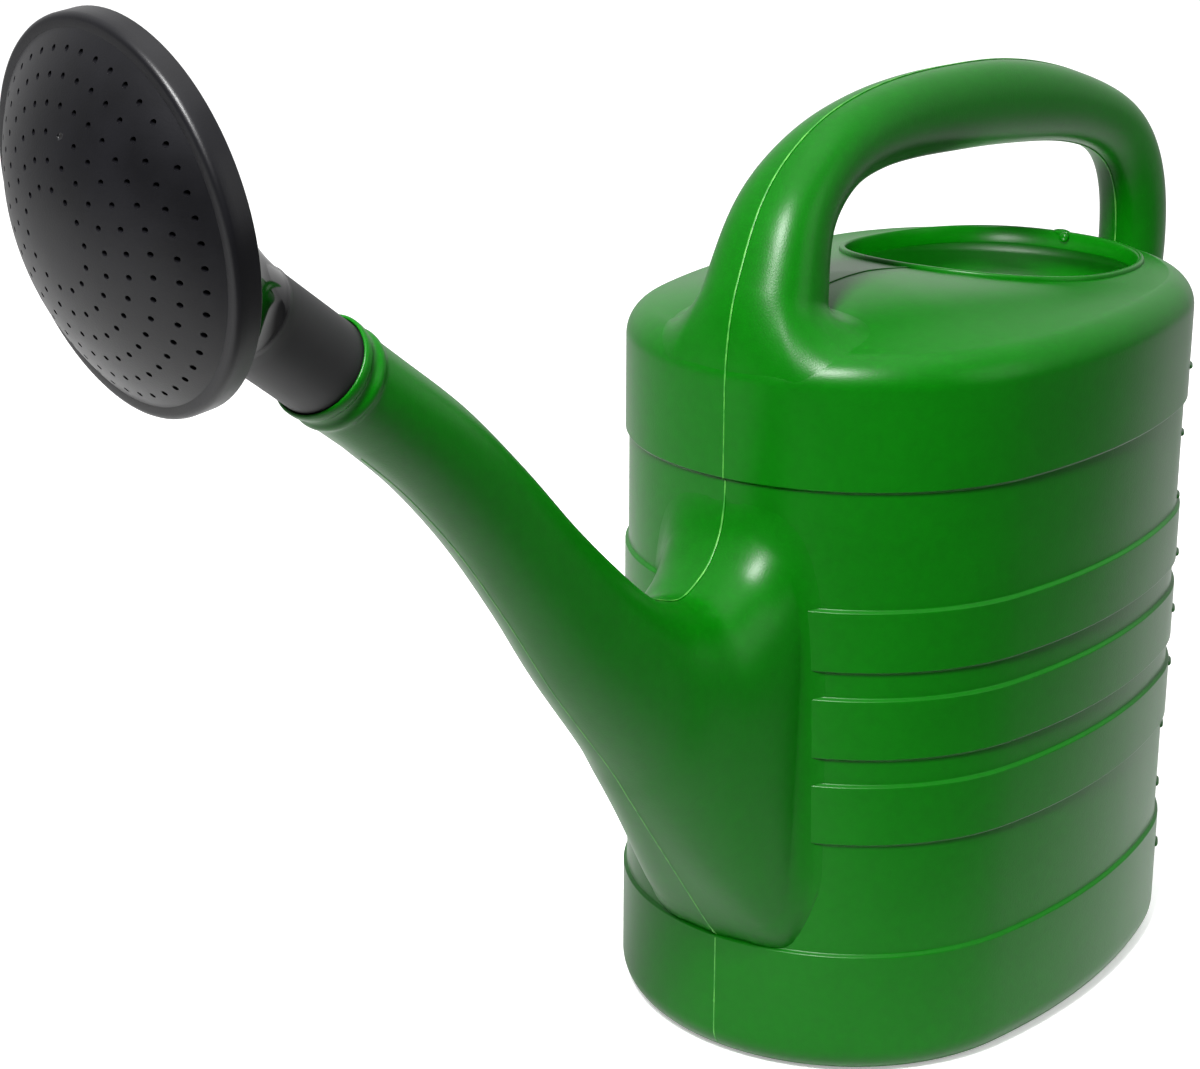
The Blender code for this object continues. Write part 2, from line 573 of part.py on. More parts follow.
def build_face(mat):
    """The domed face with its rim, which pushes on over the funnel; the spray holes go right through it."""
    inner_rim = RIM_RADIUS - RIM_WALL
    n = 40
    outer = [face_ring(face_height(k * FACE_RADIUS), k * FACE_RADIUS, n) for k in FACE_OUTSIDE]
    outer += [face_ring(RIM_DEPTH, FACE_RADIUS, n), face_ring(RIM_DEPTH, RIM_RADIUS - RIM_ROUND, n)]
    outer += [face_ring(RIM_DEPTH - 0.5 * MM, RIM_RADIUS - 0.5 * MM, n)]
    outer += [face_ring(RIM_DEPTH - RIM_ROUND, RIM_RADIUS, n)]
    outer += [face_ring(-1.0 * MM, RIM_RADIUS, n)]
    inner = [face_ring(-1.0 * MM, inner_rim, n), face_ring(RIM_DEPTH - 1.3 * MM, inner_rim, n)]
    inner += [face_ring(RIM_DEPTH - 1.3 * MM, FACE_RADIUS - FACE_WALL, n)]
    for share in FACE_INSIDE:
        radius = share * FACE_RADIUS
        inner.append(face_ring(face_height(radius + FACE_WALL) - FACE_WALL, radius, n))
    obj = make_object("rose_face", loft("rose_face", outer + inner), mat)
    cut(obj, [spray_cutter()])
    tidy(obj, mat)
    return obj


def spray_cutter():
    """All the spray holes as one set of small six-sided pins, each square to the rose's face plane."""
    start, line, lean, facing, across, upright, centre = rose_frame()
    bm = bmesh.new()
    sides = 6
    for k, (share, holes) in enumerate(SPRAY_RINGS):
        radius = share * FACE_RADIUS
        low = face_height(radius) - 4.5 * MM
        high = face_height(radius) + 3.0 * MM
        for i in range(holes):
            a = 2 * math.pi * (i + 0.5 * (k % 2)) / holes
            middle = centre + radius * (math.cos(a) * upright + math.sin(a) * across)
            t = np.linspace(0, 2 * math.pi, sides, endpoint=False)[:, None]
            loop = SPRAY_HOLE_RADIUS * (np.cos(t) * upright + np.sin(t) * across)
            bottom = [bm.verts.new(p) for p in middle + facing * low + loop]
            top = [bm.verts.new(p) for p in middle + facing * high + loop]
            bm.faces.new(bottom)
            bm.faces.new(top[::-1])
            for j in range(sides):
                m = (j + 1) % sides
                bm.faces.new((bottom[m], bottom[j], top[j], top[m]))
    bmesh.ops.recalc_face_normals(bm, faces=bm.faces)
    mesh = bpy.data.meshes.new("spray_cutter")
    bm.to_mesh(mesh)
    bm.free()
    return mesh


def place_on_axis(obj, origin, parent=None):
    """Puts an object's origin on its joint line without moving its shape."""
    shift = np.array(origin)
    for v in obj.data.vertices:
        v.co = [c - s for c, s in zip(v.co, shift)]
    if parent is None:
        obj.location = origin
    else:
        obj.parent = parent
        obj.location = [c - s for c, s in zip(origin, parent.location)]


def main():
    clear_scene()
    green = material("green_polyethylene", (0.012, 0.195, 0.008), 0.42)
    black = material("black_polypropylene", (0.012, 0.012, 0.014), 0.38)
    build_tank(green)
    build_spout(green)
    build_handle(green)
    funnel = build_funnel(black)
    face = build_face(black)
    start, line, lean, facing, across, upright, centre = rose_frame()
    place_on_axis(funnel, [float(c) for c in start])
    place_on_axis(face, [float(c) for c in centre], funnel)


main()
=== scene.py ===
"""Looks for a ten-litre garden watering can: moulded skins worked out on grids of points and laid over the
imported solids."""

import math

import bpy
import numpy as np
from mathutils import Euler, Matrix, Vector


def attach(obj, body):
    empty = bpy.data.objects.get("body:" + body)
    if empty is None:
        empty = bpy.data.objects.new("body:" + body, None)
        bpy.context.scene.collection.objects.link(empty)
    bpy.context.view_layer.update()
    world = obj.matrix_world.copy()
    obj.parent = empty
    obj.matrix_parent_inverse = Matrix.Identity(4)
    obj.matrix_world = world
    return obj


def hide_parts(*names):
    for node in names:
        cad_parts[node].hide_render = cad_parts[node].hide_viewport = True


MM = 0.001
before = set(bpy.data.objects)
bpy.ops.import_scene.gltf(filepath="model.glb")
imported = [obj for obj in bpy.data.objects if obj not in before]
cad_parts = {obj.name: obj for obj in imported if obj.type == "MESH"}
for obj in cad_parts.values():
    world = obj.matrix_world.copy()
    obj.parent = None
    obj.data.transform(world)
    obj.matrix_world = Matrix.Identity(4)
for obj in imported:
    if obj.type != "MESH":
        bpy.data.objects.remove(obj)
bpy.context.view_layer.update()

# ---- tank sizes, in metres ----------------------------------------------------------------------------
HALF_LENGTH = 0.131
HALF_WIDTH = 0.0927
END_RADIUS = 0.949 * HALF_WIDTH
END_CENTRE = HALF_LENGTH - END_RADIUS
SIDE_RADIUS = (END_CENTRE**2 + HALF_WIDTH**2 - END_RADIUS**2) / (2 * (HALF_WIDTH - END_RADIUS))
SIDE_CENTRE = SIDE_RADIUS - HALF_WIDTH
ARC_TURN = math.atan2(SIDE_CENTRE, END_CENTRE)
PROUD = 1.4 * MM
WALL = 1.6 * MM
BASE_ROUND = 12.0 * MM
FOOT_TOP = 51.0 * MM
BANDS = ((98.0 * MM, 120.6 * MM), (132.3 * MM, 154.9 * MM), (166.6 * MM, 189.2 * MM))
SHOULDER_LOW = 235.5 * MM
SHOULDER_BEND = 272.0 * MM
SHOULDER_RADIUS = 13.0 * MM
SHOULDER_TURN = math.radians(80.0)
DECK_CROWN = 6.0 * MM
LEDGE = 1.3 * MM
BASE_MIDDLE = -0.5 * HALF_WIDTH
CROWN_START = 20.0 * MM
CROWN_RUN = 90.0 * MM

# ---- filling hole ---------------------------------------------------------------------------------------
MOUTH_X = -0.056
MOUTH_LONG = 0.0605
MOUTH_WIDE = 0.0565
MOUTH_Z = 0.2885
MOUTH_FRONT_RISE = 3.2 * MM
MOUTH_SIDE_DROP = 2.4 * MM
LIP_WIDE = 2.6 * MM
LIP_TALL = 1.6 * MM
LIP_DEEP = 6.0 * MM
LIP_CHAMFER = 0.5 * MM
LIP_TOE = 0.15
LIP_HEEL = 0.7
LIP_SECTION = ((1.0, 0.0), (0.97, 0.5), (0.9, 0.8), (0.8, 0.95), (0.65, 1.0), (0.35, 1.0), (0.2, 0.95),
               (0.08, 0.75), (0.0, 0.4))
MOUTH_POWER = 2.3
MOUTH_POWER_SWING = 0.25

# ---- spout, rose axis ------------------------------------------------------------------------------------
SPOUT_END = np.array([0.341, 0.0, 0.3194])
SLOPE = math.radians(36.0)
LINE = np.array([math.cos(SLOPE), 0.0, math.sin(SLOPE)])
UPRIGHT = np.array([-math.sin(SLOPE), 0.0, math.cos(SLOPE)])
STRAIGHT = 28.0 * MM
NECK_RADIUS = 15.5 * MM
SPOUT_RADIUS = 16.2 * MM
PLUG_RADIUS = 13.7 * MM
PLUG_LONG = 24.0 * MM
SEAT = 3.0 * MM
GAP = 0.3 * MM
NECK_LONG = 36.0 * MM
POLISH_BLEND = 1.5 * MM
ROSE_WALL = 2.0 * MM
ROSE_BEND = math.radians(45.3)
ROSE_TWIST = math.radians(-14.0)
LEAN = -math.cos(ROSE_TWIST) * UPRIGHT + math.sin(ROSE_TWIST) * np.array([0.0, 1.0, 0.0])
FACING = math.cos(ROSE_BEND) * LINE + math.sin(ROSE_BEND) * LEAN
ACROSS = np.cross(LINE, LEAN)
ROSE_UP = np.cross(FACING, ACROSS)
RIM_CENTRE = SPOUT_END + 89.5 * MM * LINE - 3.9 * MM * LEAN
RIM_RADIUS = 56.0 * MM
RIM_WALL = 1.8 * MM
RIM_DEEP = 7.0 * MM
FACE_RADIUS = 52.0 * MM
FACE_RISE = 18.3 * MM
FACE_WALL = 1.8 * MM
HOLE_RADIUS = 0.85 * MM
SPRAY_RINGS = ((0.269, 14), (0.404, 20), (0.538, 27), (0.669, 34), (0.796, 40), (0.913, 45))


# ---- colour and material tools ---------------------------------------------------------------------------
def linear(code):
    """An sRGB hex colour as linear red, green, blue and a full alpha."""
    parts = np.array([int(code[k:k + 2], 16) for k in (1, 3, 5)]) / 255.0
    out = np.where(parts <= 0.04045, parts / 12.92, ((parts + 0.055) / 1.055) ** 2.4)
    return (*[float(c) for c in out], 1.0)


def add(tree, kind, links=None, **settings):
    """Adds one node: keyword settings go to its properties, or to its inputs when the name is one of them."""
    node = tree.nodes.new(kind)
    for key, value in settings.items():
        if hasattr(node, key):
            setattr(node, key, value)
        else:
            node.inputs[key.replace("_", " ")].default_value = value
    for key, source in (links or {}).items():
        tree.links.new(source, node.inputs[key])
    return node


def plastic(name, **settings):
    """A new material with a Principled shader; constants are set on its own sockets."""
    mat = bpy.data.materials.new(name)
    mat.use_nodes = True
    shader = mat.node_tree.nodes["Principled BSDF"]
    for key, value in settings.items():
        shader.inputs[key.replace("_", " ")].default_value = value
    return mat, mat.node_tree, shader


def noise(tree, place, scale, detail, roughness=0.5):
    """Cloudy noise over place: scale is its repeats in a metre, detail the finer layers laid over it."""
    node = add(tree, "ShaderNodeTexNoise", {"Vector": place}, Scale=scale, Detail=detail, Roughness=roughness)
    return node.outputs["Fac"]


def two_tone(tree, value, low, high, dark, light):
    """A colour that goes from dark to light while value runs from low to high."""
    ramp = add(tree, "ShaderNodeValToRGB", {"Fac": value})
    start, end = ramp.color_ramp.elements
    start.position = low
    start.color = dark
    end.position = high
    end.color = light
    return ramp.outputs["Color"]


def tint(tree, shader, value, low, high, dark, light):
    """Colours the shader from one hex colour to another while value runs from low to high."""
    colour = two_tone(tree, value, low, high, linear(dark), linear(light))
    tree.links.new(colour, shader.inputs["Base Color"])


def gloss(tree, shader, value, low, high):
    """Makes the shader's roughness go from low to high while value runs from 0 to 1."""
    rough = add(tree, "ShaderNodeMapRange", {"Value": value}, To_Min=low, To_Max=high)
    tree.links.new(rough.outputs["Result"], shader.inputs["Roughness"])


def grain(tree, place, shader, scale, strength, distance):
    """Fine noise as the height of a bump on the shader."""
    height = noise(tree, place, scale, 2.0)
    bump = add(tree, "ShaderNodeBump", {"Height": height}, Strength=strength, Distance=distance)
    tree.links.new(bump.outputs["Normal"], shader.inputs["Normal"])


def moulded_polyethylene():
    """Blow-moulded polyethylene: one strong green with soft cloudy drifts where the wall cooled unevenly, a
    satin skin with faint pebbling, and light scattered a little way inside."""
    mat, tree, shader = plastic("blow_moulded_polyethylene", IOR=1.52, Specular_IOR_Level=0.14,
                                Subsurface_Weight=0.08, Subsurface_Radius=(0.001, 0.003, 0.001),
                                Subsurface_Scale=1.0)
    place = add(tree, "ShaderNodeTexCoord").outputs["Object"]
    drift = noise(tree, place, 22.0, 3.0, 0.55)
    cloud = noise(tree, place, 260.0, 2.0, 0.6)
    both = add(tree, "ShaderNodeMath", {0: drift, 1: cloud}, operation="ADD")
    half = add(tree, "ShaderNodeMath", {0: both.outputs[0]}, operation="MULTIPLY")
    half.inputs[1].default_value = 0.5
    tint(tree, shader, half.outputs[0], 0.3, 0.7, "#014b01", "#015301")
    gloss(tree, shader, drift, 0.30, 0.36)
    grain(tree, place, shader, 1400.0, 0.10, 0.4 * MM)
    return mat


def trimmed_flash():
    """Polyethylene flash: the thin line left where the mould halves met, paler where the trimming stretched
    it."""
    mat, tree, shader = plastic("trimmed_flash", IOR=1.52)
    place = add(tree, "ShaderNodeTexCoord").outputs["Object"]
    fleck = noise(tree, place, 180.0, 3.0)
    tint(tree, shader, fleck, 0.4, 0.62, "#0f690c", "#41882d")
    gloss(tree, shader, fleck, 0.4, 0.6)
    return mat


def black_polypropylene(name, specular, dark, light):
    """Injection-moulded polypropylene: near black, with a slow drift between two close shades. Hands back
    what a finish is built on: material, tree, shader, coordinates and the drift."""
    mat, tree, shader = plastic(name, IOR=1.49, Specular_IOR_Level=specular)
    place = add(tree, "ShaderNodeTexCoord").outputs["Object"]
    drift = noise(tree, place, 60.0, 3.0)
    tint(tree, shader, drift, 0.35, 0.65, dark, light)
    return mat, tree, shader, place, drift


def satin_polypropylene():
    """The face of the rose: a satin skin with a fine even grain."""
    mat, tree, shader, place, drift = black_polypropylene("satin_polypropylene", 0.22, "#050507", "#08080b")
    gloss(tree, shader, drift, 0.34, 0.42)
    grain(tree, place, shader, 1800.0, 0.12, 0.2 * MM)
    return mat


def polished_polypropylene():
    """The body of the rose: the funnel is polished and mirrors the room, and the neck that the mould's core
    passed through is a satin one. Roughness falls over the change, by the distance along the spout's
    line."""
    mat, tree, shader, place, _ = black_polypropylene("polished_polypropylene", 0.42, "#050506", "#08080a")
    along = add(tree, "ShaderNodeVectorMath", {0: place}, operation="DOT_PRODUCT")
    along.inputs[1].default_value = LINE
    neck_end = float(SPOUT_END @ LINE) + NECK_LONG
    rough = add(tree, "ShaderNodeMapRange", {"Value": along.outputs["Value"]}, To_Min=0.6, To_Max=0.07,
                From_Min=neck_end - POLISH_BLEND, From_Max=neck_end + POLISH_BLEND)
    tree.links.new(rough.outputs["Result"], shader.inputs["Roughness"])
    return mat


# ---- mesh tools ------------------------------------------------------------------------------------------
END_SHARE = 1e-3


def grid_faces(rows, around, loop=False):
    """Quads between neighbouring rows of a grid whose columns close on themselves; loop joins last row to
    first."""
    i = np.arange(rows if loop else rows - 1)[:, None]
    j = np.arange(around)[None, :]
    after = (j + 1) % around
    above = (i + 1) % rows
    quads = np.stack([i * around + j, i * around + after, above * around + after, above * around + j], -1)
    return quads.reshape(-1, 4)


def close_end(grid, row):
    """Shrinks a copy of one row of the grid to its middle, so that the end is closed by a tiny ring."""
    middle = grid[row].mean(0)
    return middle + (grid[row] - middle) * END_SHARE


def closed(grid):
    """The grid with both of its ends closed."""
    return np.concatenate([close_end(grid, 0)[None], grid, close_end(grid, -1)[None]])


def unit(vectors):
    """Each row divided by its length."""
    return vectors / np.linalg.norm(vectors, axis=1)[:, None]


def skin(name, grids, mat, body, nodes=(), loop=False, sharp=40.0):
    """One mesh from one or more grids of points (rows, around, 3), smooth shaded, riding on a CAD body."""
    points = []
    faces = []
    start = 0
    for grid in grids:
        grid = np.asarray(grid, float)
        rows, around = grid.shape[:2]
        points.append(grid.reshape(-1, 3))
        faces.append(grid_faces(rows, around, loop) + start)
        start += rows * around
    points = np.concatenate(points)
    faces = np.concatenate(faces)
    if volume(points, faces) < 0:
        faces = faces[:, ::-1]
    return make_piece(name, points, faces, mat, body, nodes, sharp)


def volume(points, faces):
    """Signed volume within quads: a sixth of the sum of the triple products of their two triangles."""
    a, b, c, d = (points[faces[:, k]] for k in range(4))
    triples = np.einsum("ij,ij->i", a, np.cross(b, c)) + np.einsum("ij,ij->i", a, np.cross(c, d))
    return float(triples.sum()) / 6


def make_piece(name, points, faces, mat, body, nodes, sharp):
    """A smooth shaded mesh object with hard edges above the given angle, tied to its body and to the CAD
    nodes it hides.
    """
    mesh = bpy.data.meshes.new(name)
    mesh.from_pydata(points.tolist(), [], faces.tolist())
    mesh.materials.append(mat)
    mesh.polygons.foreach_set("use_smooth", np.ones(len(mesh.polygons), bool))
    mesh.set_sharp_from_angle(angle=math.radians(sharp))
    mesh.update()
    piece = bpy.data.objects.new(name, mesh)
    bpy.context.scene.collection.objects.link(piece)
    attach(piece, body)
    if nodes:
        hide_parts(*nodes)
    return piece


def spline(values, t):
    """A smooth curve through evenly spaced values: cubic pieces whose slope at each value is half the step
    across its neighbours. t runs from 0 to 1; values may be a list of numbers or of points."""
    values = np.asarray(values, float)
    flat = values.ndim == 1
    v = values[:, None] if flat else values
    last = len(v) - 1
    place = np.clip(np.asarray(t, float), 0, 1) * last
    i = np.minimum(place.astype(int), last - 1)
    f = (place - i)[:, None]
    before = v[np.maximum(i - 1, 0)]
    after = v[np.minimum(i + 2, last)]
    out = hermite(v[i], (v[i + 1] - before) / 2, v[i + 1], (after - v[i]) / 2, f)
    return out[:, 0] if flat else out


def hermite(start, leave, end, arrive, f):
    """The cubic that leaves start along leave and reaches end along arrive, at share f of the way."""
    return ((2 * f**3 - 3 * f**2 + 1) * start + (f**3 - 2 * f**2 + f) * leave
            + (3 * f**2 - 2 * f**3) * end + (f**3 - f**2) * arrive)


def blend(ring, leave, foot, arrive, count):
    """Rows from one ring of points to another: the cubic that leaves and arrives along the given vectors,
    each made as long as the gap between the two points is wide."""
    reach = np.linalg.norm(foot - ring, axis=1)[:, None]
    f = np.linspace(0, 1, count)[:, None, None]
    return hermite(ring, leave * reach, foot, arrive * reach, f)


def rounded(power, around):
    """Unit rounded outline |u|^p + |v|^p = 1 as (up, across); power may be one value for each row."""
    t = np.linspace(0, 2 * math.pi, around, endpoint=False)
    p = 2 / np.asarray(power, float).reshape(-1, 1)
    up = np.sign(np.cos(t)) * np.abs(np.cos(t)) ** p
    across = np.sign(np.sin(t)) * np.abs(np.sin(t)) ** p
    return up, across


# ---- tank ------------------------------------------------------------------------------------------------
def oval(offset, n_end=72, n_side=30):
    """Four-centre oval moved outwards by offset: two end arcs joined to two flat side arcs of the same
    normals."""
    front = np.linspace(-ARC_TURN, ARC_TURN, n_end, endpoint=False)
    left = np.linspace(ARC_TURN, math.pi - ARC_TURN, n_side, endpoint=False)
    angle = np.concatenate([front, left, front + math.pi, left + math.pi])
    counts = [n_end, n_side, n_end, n_side]
    radius = np.repeat([END_RADIUS, SIDE_RADIUS, END_RADIUS, SIDE_RADIUS], counts)
    cx = np.repeat([END_CENTRE, 0.0, -END_CENTRE, 0.0], counts)
    cy = np.repeat([0.0, -SIDE_CENTRE, 0.0, SIDE_CENTRE], counts)
    reach = radius + offset
    return np.stack([cx + reach * np.cos(angle), cy + reach * np.sin(angle)], -1)


def level(offset, z):
    """The oval at one height."""
    flat = oval(offset)
    return np.column_stack([flat, np.full(len(flat), z)])


def oval_distance(x, y):
    """How far outside the plain wall a point in plan lies, negative inside: measured from the arc it
    faces."""
    ax = np.abs(x)
    ay = np.abs(y)
    at_end = (ax > END_CENTRE) & (np.arctan2(ay, ax - END_CENTRE) < ARC_TURN)
    end = np.hypot(ax - END_CENTRE, ay) - END_RADIUS
    side = np.hypot(ax, ay + SIDE_CENTRE) - SIDE_RADIUS
    return np.where(at_end, end, side)


def proud(z):
    """How far the wall stands out at height z: 1.4 mm on the foot, bands and shoulder, with soft steps
    between."""
    def step(low):
        """Soft step from 0 to 1 over one ledge: s squared times (3 - 2 s)."""
        s = np.clip((z - low) / LEDGE, 0, 1)
        return s * s * (3 - 2 * s)
    out = 1 - step(FOOT_TOP)
    for low, high in BANDS:
        out = out + step(low - LEDGE) - step(high)
    return PROUD * (out + step(SHOULDER_LOW - LEDGE))


def mouth_shape(x, y):
    """Angle round the filling hole, the hole's reach at that angle, and how far outside its edge a point
    lies. The edge is |cos/long|^p + |sin/wide|^p = 1, with p a little smaller in front."""
    angle = np.arctan2(y, x - MOUTH_X)
    power = MOUTH_POWER - MOUTH_POWER_SWING * np.cos(angle)
    long_part = np.abs(np.cos(angle) / MOUTH_LONG) ** power
    wide_part = np.abs(np.sin(angle) / MOUTH_WIDE) ** power
    edge = (long_part + wide_part) ** (-1 / power)
    return angle, edge, np.hypot(x - MOUTH_X, y) - edge


def mouth_height(x, y):
    """Height of the hole's plane: it rises evenly towards the front and droops with y squared at the
    sides."""
    along = (x - MOUTH_X) / MOUTH_LONG
    return MOUTH_Z + MOUTH_FRONT_RISE * along - MOUTH_SIDE_DROP * (y / MOUTH_WIDE) ** 2


def mouth(offset, lift):
    """Ring at a distance outside the hole's edge, with one point facing each point of the oval."""
    flat = oval(0.0)
    angle, edge, _ = mouth_shape(flat[:, 0], flat[:, 1])
    x = MOUTH_X + (edge + offset) * np.cos(angle)
    y = (edge + offset) * np.sin(angle)
    return np.column_stack([x, y, mouth_height(x, y) + lift])


def deck_height(x, y):
    """Height of the tank's top: a quarter round at the shoulder, then a crowned slope that runs to the
    lip."""
    inward = PROUD - oval_distance(x, y)
    run = SHOULDER_RADIUS * (1 - math.cos(SHOULDER_TURN))
    level_part = SHOULDER_RADIUS - np.clip(inward, 0, None)
    round_z = SHOULDER_BEND + np.sqrt(np.clip(SHOULDER_RADIUS**2 - level_part**2, 0, None))
    edge_z = SHOULDER_BEND + SHOULDER_RADIUS * math.sin(SHOULDER_TURN)
    out = np.clip(inward - run, 0, None)
    near = np.clip(mouth_shape(x, y)[2] - LIP_WIDE, 0, None)
    share = out / (out + near + 1e-9)
    crown = DECK_CROWN * np.clip((out + near - CROWN_START) / CROWN_RUN, 0, 1)
    slope_z = edge_z + (mouth_height(x, y) - edge_z) * share + crown * 4 * share * (1 - share)
    return np.where(inward < run, round_z, slope_z)


def deck_ring(start, end, share):
    """Ring part of the way from the shoulder's edge to the lip, lifted on to the deck."""
    flat = start[:, :2] + (end[:, :2] - start[:, :2]) * share
    return np.column_stack([flat, deck_height(flat[:, 0], flat[:, 1])])


def base_ring(offset, bend, turn):
    """Ring at an angle round the base's rounded edge, which has the radius bend and meets the wall at
    offset."""
    return level(offset - bend * (1 - math.cos(turn)), BASE_ROUND - bend * math.sin(turn))


def shoulder_ring(radius, turn):
    """Ring at an angle round the shoulder, with the radius of its outside or of its inside."""
    return level(PROUD - SHOULDER_RADIUS + radius * math.cos(turn), SHOULDER_BEND + radius * math.sin(turn))


def wall_heights():
    """Heights of the wall's rows: even ones all the way up, and eleven close ones across each ledge."""
    marks = [FOOT_TOP, SHOULDER_LOW - LEDGE] + [z for low, high in BANDS for z in (low - LEDGE, high)]
    even_rows = np.linspace(BASE_ROUND, SHOULDER_BEND, 64)[1:-1]
    ledge_rows = [mark + LEDGE * np.linspace(-0.3, 1.3, 11) for mark in marks]
    return np.unique(np.concatenate([even_rows, *ledge_rows]))


def tank_outside():
    """Rows up the outside: the base, its rounded edge, the wall with its bands, and the shoulder's turn."""
    middle = level(BASE_MIDDLE, 0.0)
    rows = [close_end(middle[None], 0), middle]
    rows += [base_ring(PROUD, BASE_ROUND, turn) for turn in np.radians(np.linspace(90, 0, 15))]
    rows += [level(float(proud(z)), z) for z in wall_heights()]
    rows += [shoulder_ring(SHOULDER_RADIUS, turn) for turn in np.linspace(0, SHOULDER_TURN, 14)]
    return rows


def lip_rows():
    """Rows over the lip of the filling hole, down its inner face and back up under the deck."""
    rows = [mouth(out * LIP_WIDE, up * LIP_TALL) for out, up in LIP_SECTION]
    rows.append(mouth(0.0, LIP_CHAMFER - LIP_DEEP))
    rows.append(mouth(LIP_TOE * LIP_WIDE, -LIP_DEEP))
    rows.append(mouth(LIP_HEEL * LIP_WIDE, -LIP_DEEP))
    rows.append(mouth(LIP_HEEL * LIP_WIDE, -WALL))
    return rows


def tank_inside(edge, rim):
    """Rows back down the inside, one wall's thickness in: deck, shoulder, wall, floor."""
    down = np.array([0.0, 0.0, WALL])
    rows = [deck_ring(edge, rim, share) - down for share in np.linspace(1, 0, 24)[1:]]
    rows += [shoulder_ring(SHOULDER_RADIUS - WALL, turn) for turn in np.linspace(SHOULDER_TURN, 0, 10)[1:]]
    rows += [level(-WALL, z) for z in np.linspace(SHOULDER_BEND, BASE_ROUND, 50)[1:]]
    rows += [base_ring(-WALL, BASE_ROUND - WALL, turn) for turn in np.radians(np.linspace(0, 90, 9))]
    rows.append(level(BASE_MIDDLE, WALL))
    rows.append(close_end(rows, -1))
    return rows


def tank_grid():
    """Rows of the tank: up the outside, over the deck to the lip, and back down the inside of the wall."""
    outside = tank_outside()
    edge = outside[-1]
    rim = mouth(LIP_WIDE, 0.0)
    deck = [deck_ring(edge, rim, share) for share in np.linspace(0, 1, 40)[1:-1]]
    return np.array(outside + deck + lip_rows() + tank_inside(edge, rim))


# ---- spout ---------------------------------------------------------------------------------------------
UPPER_EDGE = ((281.8, 295.8), (253.7, 269.9), (225.4, 241.4), (195.9, 214.7), (180.0, 203.0), (168.6, 198.0),
              (158.2, 195.8), (149.0, 198.8), (140.5, 204.5), (134.2, 213.5), (131.4, 223.5), (130.6, 234.0))
LOWER_EDGE = ((304.3, 270.2), (279.0, 244.0), (254.6, 213.3), (231.5, 182.0), (200.5, 144.5), (188.0, 127.5),
              (173.0, 107.0), (160.6, 90.0), (150.4, 76.0), (142.4, 65.0), (136.4, 57.0), (130.8, 51.0))
HALF_WIDE = (16.7, 17.2, 18.8, 22.0, 25.5, 28.0, 30.0, 31.7, 33.0, 33.7, 34.0, 34.0)
SQUARENESS = (2.0, 2.05, 2.1, 2.1, 2.15, 2.25, 2.35, 2.6, 3.0, 3.3, 3.6, 3.8, 3.8)
SQUARENESS_BELOW = (2.0, 2.05, 2.1, 2.1, 2.15, 2.25, 2.4, 2.8, 3.6, 5.0, 7.0, 9.0, 10.0)
SPOUT_AROUND = 112
FILLET = 6.5 * MM
FLARE_FADE = 34.0 * MM
WRAP_START = 0.45
WRAP_RUN = 0.4
SPOUT_ROWS = 150
INSIDE_END = 130
ROOT_BURIED = 4.0 * MM
BORE_SHORT = 2.0 * MM
BORE_STEP = 0.4 * MM
EDGE_EASE = 0.3 * MM
BEAD_TALL = 0.8 * MM
BEADS = ((0.0, 0.2), (0.3, 0.7), (0.9, 0.98), (1.8, 1.0), (2.9, 0.95), (3.5, 0.7), (4.1, 0.1), (4.7, -0.2),
         (6.4, -0.2), (7.2, 0.0), (7.8, 0.45), (8.5, 0.88), (9.4, 1.0), (10.3, 0.88), (11.1, 0.5),
         (12.0, 0.15), (13.2, 0.02), (15.0, 0.0))


def spout_edges(t):
    """Upper and lower edge of the spout in the seam plane and its half width, from the straight end to the
    tank."""
    back = SPOUT_END - STRAIGHT * LINE
    top = back + SPOUT_RADIUS * UPRIGHT
    under = back - SPOUT_RADIUS * UPRIGHT
    upper = spline(np.vstack([top[[0, 2]], np.array(UPPER_EDGE) * MM]), t)
    lower = spline(np.vstack([under[[0, 2]], np.array(LOWER_EDGE) * MM]), t)
    wide = spline([SPOUT_RADIUS] + [w * MM for w in HALF_WIDE], t)
    return upper, lower, wide


def bend_rows(t, inset):
    """Sections hung between the two edges, drawn in by inset and bent round the tank as they reach it.
    Close to the wall each section widens by the fillet of a quarter circle, faded in over the foot's
    top."""
    upper, lower, wide = spout_edges(t)
    draw = inset * unit(upper - lower)
    upper = upper - draw
    lower = lower + draw
    up, across = rounded(spline(SQUARENESS, t), SPOUT_AROUND)
    up_below, across_below = rounded(spline(SQUARENESS_BELOW, t), SPOUT_AROUND)
    below = up < 0
    up = np.where(below, up_below, up)
    across = np.where(below, across_below, across)
    middle = (upper + lower) / 2
    half = (upper - lower) / 2
    short = np.clip(FILLET - np.clip(middle[:, 0] - HALF_LENGTH, 0, None), 0, FILLET)
    flare = FILLET - np.sqrt(FILLET**2 - short**2)
    z = middle[:, 1:] + half[:, 1:] * up
    high = np.clip((z - FOOT_TOP) / FLARE_FADE, 0, 1)
    y = ((wide - inset)[:, None] + flare[:, None] * high * high * (3 - 2 * high)) * across
    wrap = np.clip((t - WRAP_START) / WRAP_RUN, 0, 1)[:, None]
    back = wrap * (END_RADIUS - np.sqrt(END_RADIUS**2 - y**2))
    return np.stack([middle[:, :1] + half[:, :1] * up - back, y, z], -1)


def round_rows(places, radii):
    """Round sections square to the spout's end line: one radius at each place, measured back from the end."""
    up, across = rounded(2.0, SPOUT_AROUND)
    places = np.asarray(places, float)[:, None, None]
    radii = np.asarray(radii, float)[:, None, None]
    middle = SPOUT_END - places * LINE
    return middle + radii * (up[..., None] * UPRIGHT + across[..., None] * np.array([0.0, 1.0, 0.0]))


